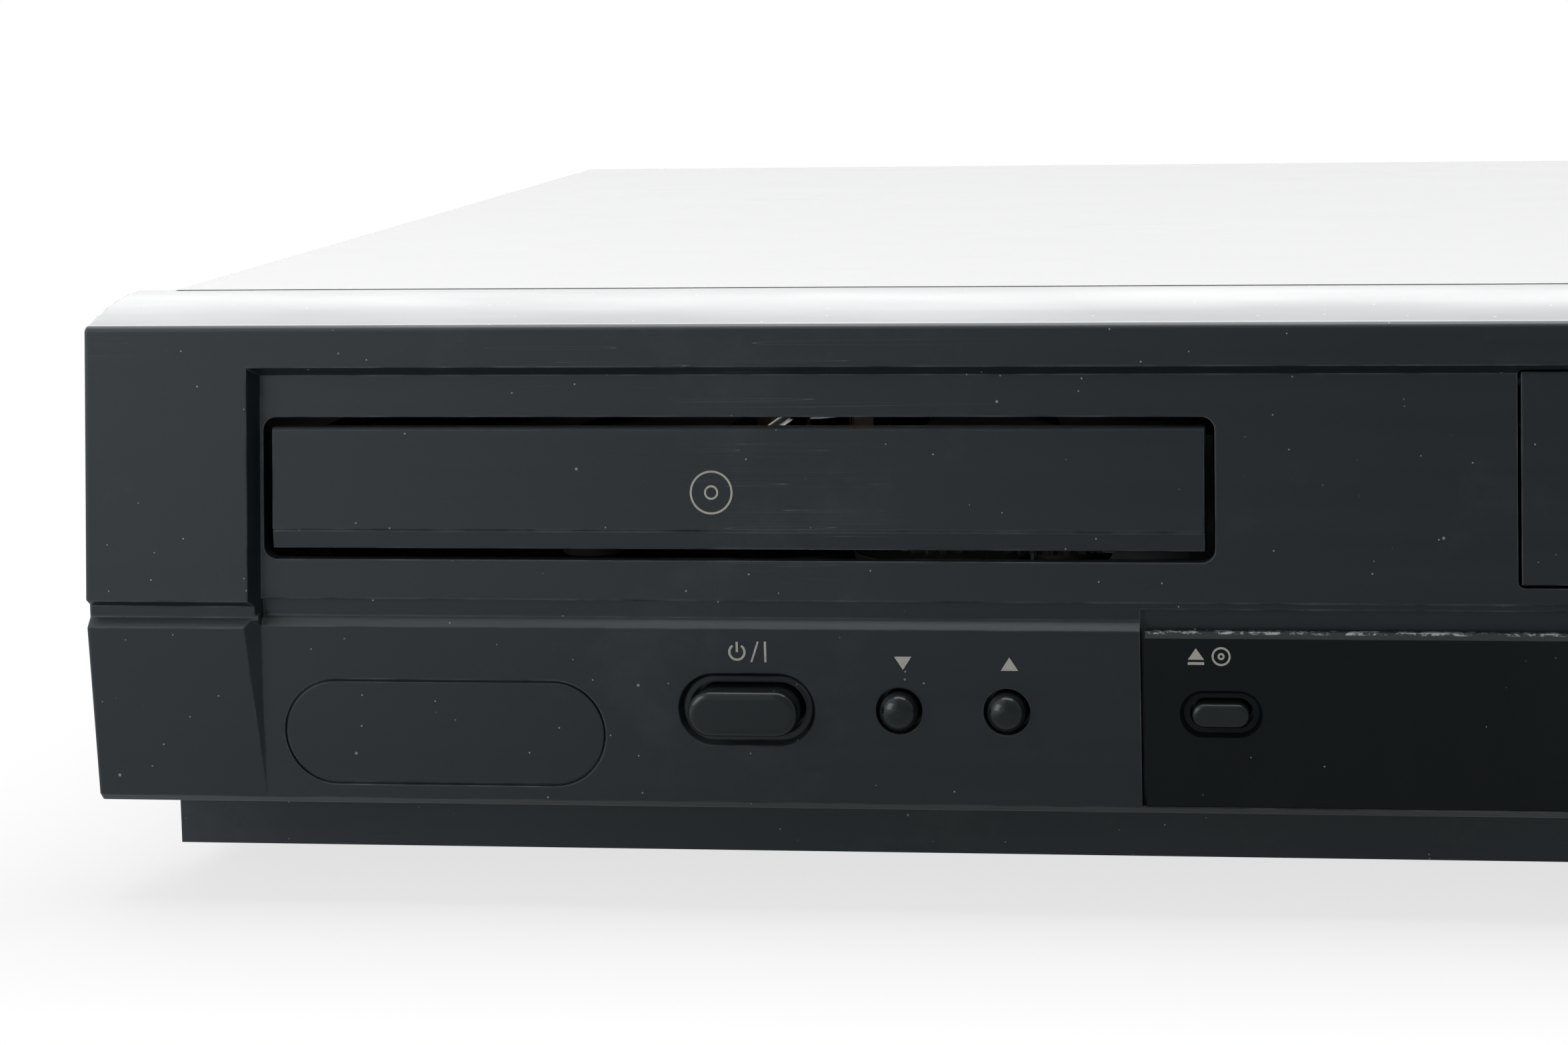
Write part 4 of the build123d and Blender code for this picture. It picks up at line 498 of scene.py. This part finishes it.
# ---------------------------------------------------------------- finishes of the solids
def dress_nodes():
    front = moulded("front_plastic", FRONT_BLACK, 0.34, dust=0.9, wear=1.2, band_mm=BAND_FROM_MM)
    flap = moulded("flap_plastic", FRONT_BLACK, 0.31, 0.012, dust=0.9, wear=1.0)
    badge = moulded("badge_plastic", FRONT_BLACK, 0.28, 0.008, dust=0.8, wear=0.6)
    keys = moulded("button_plastic", (0.005, 0.007, 0.0085), 0.13, 0.004, dust=0.3, wear=1.3)
    base = moulded("base_plastic", (0.022, 0.0265, 0.031), 0.44, 0.03, dust=1.2, wear=0.8)
    socket_black = moulded("socket_plastic", (0.018, 0.018, 0.02), 0.4, 0.01, dust=0.3)
    loader = moulded("loader_plastic", (0.05, 0.05, 0.053), 0.48, 0.02, dust=0.2)
    tray = moulded("tray_plastic", (0.02, 0.0215, 0.0235), 0.45, 0.02, dust=0.15)
    gear = moulded("gear_plastic", (0.74, 0.72, 0.64), 0.38, 0.006, Subsurface_Weight=0.08)
    reel = moulded("reel_plastic", (0.62, 0.62, 0.6), 0.4, 0.008)
    dark_puck = moulded("clamper_plastic", (0.03, 0.03, 0.032), 0.4, 0.01)
    zinc = metal("zinc_steel", (0.62, 0.62, 0.6), 0.36, scale=120.0, spangle=0.22)
    enamel = moulded("black_enamel", (0.012, 0.012, 0.013), 0.5, 0.008, dust=0.2)
    rolled = metal("motor_steel", (0.6, 0.6, 0.58), 0.34, (1.0, 1.0, 8.0))
    tin = metal("tin_can", (0.72, 0.71, 0.68), 0.28, (6.0, 1.0, 1.0))
    blackened = metal("screw_steel", (0.09, 0.09, 0.095), 0.33, scale=900.0)
    spring = metal("spring_steel", (0.55, 0.55, 0.56), 0.25, scale=800.0)
    ground = metal("rod_steel", (0.78, 0.78, 0.79), 0.12, (1.0, 0.05, 1.0), 900.0, 0.05)
    belt = rubber()
    green = circuit_board("circuit_board", (0.03, 0.13, 0.045), (0.6, 0.5, 0.3))
    brown = circuit_board("paper_board", (0.24, 0.13, 0.05), (0.62, 0.6, 0.55))
    drum = turned_metal("drum_aluminium", (0.83, 0.83, 0.84), 0.16, DRUM_AXIS_MM, 0.35)
    platter = turned_metal("turntable_plastic", (0.3, 0.3, 0.31), 0.35, DISC_AXIS_MM, 0.5)
    finishes = {
        painted_steel(): ("top_cover",),
        front: ("front_bezel", "cassette_door"),
        flap: ("tray_flap",),
        badge: ("badge_plate",),
        keys: (
            "power_button",
            "program_down_button",
            "program_up_button",
            "disc_eject_button",
            "tape_eject_button",
            "rewind_button",
            "stop_button",
            "play_button",
            "forward_button",
        ),
        base: ("chassis_base",),
        smoked(): ("display_window",),
        socket_black: ("scart_sockets", "rear_av_sockets", "mains_inlet", "front_av_sockets"),
        loader: ("loader_frame", "traverse_chassis", "deck_chassis", "pickup_sled"),
        tray: ("disc_tray",),
        gear: (
            "drive_gear",
            "pulley_gear",
            "motor_pulley",
            "feed_gear",
            "feed_pinion",
            "carriage_gear",
            "carriage_sliders",
        ),
        reel: ("supply_reel", "take_up_reel"),
        dark_puck: ("clamper",),
        zinc: ("rear_panel", "side_plates", "cassette_holder"),
        enamel: ("clamp_bridge",),
        rolled: ("loading_motor", "traverse_motors", "tape_heads", "pinch_arm"),
        tin: ("tuner_module",),
        blackened: ("cover_screws",),
        spring: ("door_spring",),
        ground: ("guide_rods", "left_guide_post", "right_guide_post", "capstan"),
        belt: ("rubber_feet", "drive_belt", "pinch_roller"),
        green: ("control_board", "main_board"),
        brown: ("power_board",),
        drum: ("head_drum", "drum_base"),
        platter: ("turntable",),
        lens_glass(): ("objective_lens",),
    }
    for material, names in finishes.items():
        for name in names:
            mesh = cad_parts[name].data
            mesh.materials.clear()
            mesh.materials.append(material)


# ---------------------------------------------------------------- printed marks
def marks():
    ink = printed_ink()
    panel, window = "front_bezel", "display_window"
    x, z = POWER_X_MM - 1.25, POWER_MARK_Z_MM
    power = arc(x, z, 1.15, 0.34, -235, 55) + [bar(x - 0.17, z, x + 0.17, z + 1.55)]
    slash = [(x + 2.0, z - 1.5), (x + 2.3, z - 1.5), (x + 3.35, z + 1.6), (x + 3.05, z + 1.6)]
    power += [slash, bar(x + 4.1, z - 1.5, x + 4.45, z + 1.6)]
    printed("mark_power", power, panel, "cabinet", ink)
    z = KEY_MARK_Z_MM
    down = [triangle(PROGRAM_X_MM[0] + 0.7, z, 2.6, -2.0)]
    up = [triangle(PROGRAM_X_MM[1] + 0.5, z, 2.6, 2.0)]
    printed("mark_program", down + up, panel, "cabinet", ink)
    z = WINDOW_MARK_Z_MM
    left = eject_mark(-49.3, z) + disc_mark(-45.6, z, 1.25)
    right = eject_mark(42.6, z) + cassette_mark(47.0, z, 4.4, 2.5)
    printed("mark_eject", left + right, window, "cabinet", ink)
    z = KEY_MARK_Z_MM
    rewind, stop, play, forward = TRANSPORT_X_MM
    keys = [arrow(rewind - 0.9, z, -1.8, 2.2), arrow(rewind + 0.9, z, -1.8, 2.2)]
    keys += [bar(stop - 1.0, z - 1.0, stop + 1.0, z + 1.0), arrow(play, z, 2.2, 2.4)]
    keys += [arrow(forward - 0.9, z, 1.8, 2.2), arrow(forward + 0.9, z, 1.8, 2.2)]
    printed("mark_transport", keys, panel, "cabinet", ink)
    printed("mark_disc", disc_mark(*FLAP_MARK_MM, 3.1), "tray_flap", "disc_tray", ink)


# ---------------------------------------------------------------- sockets
def phono_liners():
    """Coloured liners round the centre contacts, and the plated sleeves of the jacks."""
    liner = [(1.7, -0.2), (3.0, -0.2), (3.0, 0.35), (2.7, 0.55), (1.9, 0.55), (1.7, 0.35)]
    sleeve = [(3.05, -0.3), (4.28, -0.3), (4.28, 0.25), (4.1, 0.45), (3.2, 0.45), (3.05, 0.3)]
    plated = metal("jack_plating", (0.78, 0.76, 0.7), 0.2, scale=900.0)
    # Each colour, and which of the sockets on the back have it.
    rows = {"yellow": (YELLOW, (0,)), "white": (WHITE, (1, 3)), "red": (RED, (2, 4))}
    for jack_x, (tint, (colour, rear)) in zip(JACK_X_MM, rows.items()):
        finish = moulded(f"liner_{tint}", colour, 0.35, 0.006)
        fronts = [(jack_x, LINER_Y_MM[0], CONTROL_Z_MM)]
        lathe(f"front_liner_{tint}", mirror(liner), fronts, finish)
        rears = [(PHONO_X_MM[i], LINER_Y_MM[1], PHONO_Z_MM) for i in rear]
        lathe(f"rear_liner_{tint}", liner, rears, finish)
    fronts = [(x, SLEEVE_Y_MM[0], CONTROL_Z_MM) for x in JACK_X_MM]
    lathe("front_jack_sleeves", mirror(sleeve), fronts, plated)
    rears = [(x, SLEEVE_Y_MM[1], PHONO_Z_MM) for x in PHONO_X_MM]
    lathe("rear_jack_sleeves", sleeve, rears, plated)


def mirror(profile):
    """The same outline, facing the front."""
    return [(radius, -along) for radius, along in profile]


def scart_contacts():
    """Two rows of slanted blades and the ribbed contact block of each wide socket."""
    blade = metal("contact_plating", (0.8, 0.66, 0.36), 0.25, scale=900.0)
    block = moulded("contact_block", (0.03, 0.03, 0.032), 0.4, 0.01)
    tongues, blocks = bmesh.new(), bmesh.new()

    def box(bm, size, middle):
        place = Matrix.Translation(Vector(middle)) @ Matrix.Diagonal((*size, 1.0))
        bmesh.ops.create_cube(bm, size=1.0, matrix=place)

    for x in SCART_X_MM:
        places = {
            (row, column): x - 17.1 + 3.8 * column + 0.95 * row
            for row in (-1, 1)
            for column in range(SCART_COLUMNS)
        }
        for (row, column), across in places.items():
            box(tongues, (0.5, 7.0, 2.6), (across, 138.6, SCART_Z_MM + 3.1 * row))
        box(blocks, (39.0, 7.6, 3.0), (x, 137.2, SCART_Z_MM))
        for column in range(SCART_COLUMNS):
            for row in (-1, 1):
                middle = (places[row, column], 137.0, SCART_Z_MM + 1.7 * row)
                box(blocks, (1.6, 7.0, 0.9), middle)
    bmesh.ops.bevel(tongues, geom=tongues.edges[:], offset=0.12, segments=1, affect="EDGES")
    bmesh.ops.bevel(blocks, geom=blocks.edges[:], offset=0.2, segments=2, affect="EDGES")
    object_from("scart_blades", tongues, blade, "cabinet")
    object_from("scart_blocks", blocks, block, "cabinet")


def aerial_cores():
    """White insulators of the two aerial sockets."""
    white = moulded("aerial_insulator", (0.7, 0.7, 0.66), 0.4, 0.006)
    core = [(0.9, -0.4), (3.4, -0.4), (3.4, 0.0), (3.1, 0.2), (1.2, 0.2), (0.9, 0.0)]
    places = [(x, 144.2, AERIAL_Z_MM) for x in AERIAL_X_MM]
    lathe("aerial_insulators", core, places, white)


# ---------------------------------------------------------------- studio
def area_light(name, size, place, radiance):
    lamp = bpy.data.lights.new(name, "AREA")
    lamp.shape = "RECTANGLE"
    lamp.size, lamp.size_y = size
    lamp.energy = radiance * math.pi * size[0] * size[1]
    made = linked(name, lamp)
    made.visible_camera = False
    made.location = place
    towards = Vector(LAMP_TARGET) - Vector(place)
    made.rotation_euler = towards.to_track_quat("-Z", "Y").to_euler()


def studio():
    """The lamps, and a surround that is white where it is seen and dim as a light."""
    for name, lamp in LAMPS.items():
        area_light(name, **lamp)
    world = bpy.data.worlds.new("studio")
    world.use_nodes = True
    bpy.context.scene.world = world
    n = Nodes(world.node_tree)
    rays = n.node("ShaderNodeLightPath").outputs
    towards = n.parts(n.node("ShaderNodeTexCoord").outputs["Generated"])
    before = n.between(towards["X"], *MIRRORED_SKY)
    behind = n.between(towards["Y"], -0.25, 0.1)
    mirrored = n.math("MULTIPLY", rays["Is Glossy Ray"], n.math("MAXIMUM", before, behind))
    seen = n.math("MAXIMUM", rays["Is Camera Ray"], rays["Is Transmission Ray"])
    strength = n.math("MAXIMUM", n.math("MAXIMUM", seen, mirrored), AMBIENT)
    background = world.node_tree.nodes["Background"].inputs
    n.feed(background["Color"], SURROUND)
    n.feed(background["Strength"], strength)


def floor():
    """Pale floor that keeps the shadow and meets the white background."""
    f = Finish("floor", 0.9)
    patches = f.between(f.noise(3.0, 3.0), 0.3, 0.7)
    f.set("Base Color", f.mix(patches, (0.84, 0.84, 0.84), (0.87, 0.87, 0.865)))
    rays = f.node("ShaderNodeLightPath").outputs
    place = f.parts(f.place)
    off_side = f.math("SUBTRACT", f.math("ABSOLUTE", place["X"]), FOOTPRINT[0])
    off_front = f.math("SUBTRACT", f.math("ABSOLUTE", place["Y"]), FOOTPRINT[1])
    away = f.math("MAXIMUM", off_side, off_front)
    mirrored = f.math("MULTIPLY", rays["Is Glossy Ray"], f.between(place["X"], *MIRRORED_FLOOR))
    direct = f.math("MAXIMUM", rays["Is Camera Ray"], rays["Is Transmission Ray"])
    strength = f.math("MAXIMUM", direct, mirrored)
    glow = f.node("ShaderNodeEmission", {"Color": SURROUND, "Strength": strength})
    white = f.between(away, 0.0, FLOOR_FADE, FLOOR_WHITE_NEAR, 1.0)
    seen = f.math("MULTIPLY", direct, white)
    shown = f.math("MULTIPLY", rays["Is Glossy Ray"], FLOOR_WHITE_MIRRORED)
    share = f.math("MAXIMUM", seen, shown)
    both = f.node("ShaderNodeMixShader", {0: share, 1: f.shader.outputs[0], 2: glow.outputs[0]})
    f.tree.links.new(both.outputs[0], f.tree.nodes["Material Output"].inputs[0])
    bm = bmesh.new()
    bmesh.ops.create_grid(bm, x_segments=8, y_segments=8, size=6.0)
    mesh = bpy.data.meshes.new("floor")
    bm.to_mesh(mesh)
    bm.free()
    mesh.materials.append(f.material)
    linked("floor", mesh)


def camera():
    lens = bpy.data.cameras.new("camera")
    lens.lens = CAMERA_LENS
    lens.sensor_width = 36.0
    lens.shift_x, lens.shift_y = CAMERA_SHIFT
    lens.clip_start, lens.clip_end = 0.02, 40.0
    made = linked("camera", lens)
    yaw, pitch, roll = (math.radians(a) for a in (CAMERA_YAW, CAMERA_PITCH, CAMERA_ROLL))
    turn = Matrix.Rotation(yaw, 3, "Z") @ Matrix.Rotation(math.pi / 2 - pitch, 3, "X")
    turn = turn @ Matrix.Rotation(roll, 3, "Z")
    made.location = Vector(CAMERA_PLACE_MM) * MM
    made.rotation_euler = turn.to_euler()
    bpy.context.scene.camera = made


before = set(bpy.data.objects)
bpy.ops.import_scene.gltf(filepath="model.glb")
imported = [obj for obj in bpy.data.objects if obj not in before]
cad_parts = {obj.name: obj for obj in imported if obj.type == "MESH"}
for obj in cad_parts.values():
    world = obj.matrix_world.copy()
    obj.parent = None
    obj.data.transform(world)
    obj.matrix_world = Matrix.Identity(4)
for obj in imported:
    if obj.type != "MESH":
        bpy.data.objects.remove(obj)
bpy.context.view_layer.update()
bpy.context.scene.view_settings.view_transform = "Standard"
camera()
studio()
floor()
dress_nodes()
marks()
phono_liners()
scart_contacts()
aerial_cores()
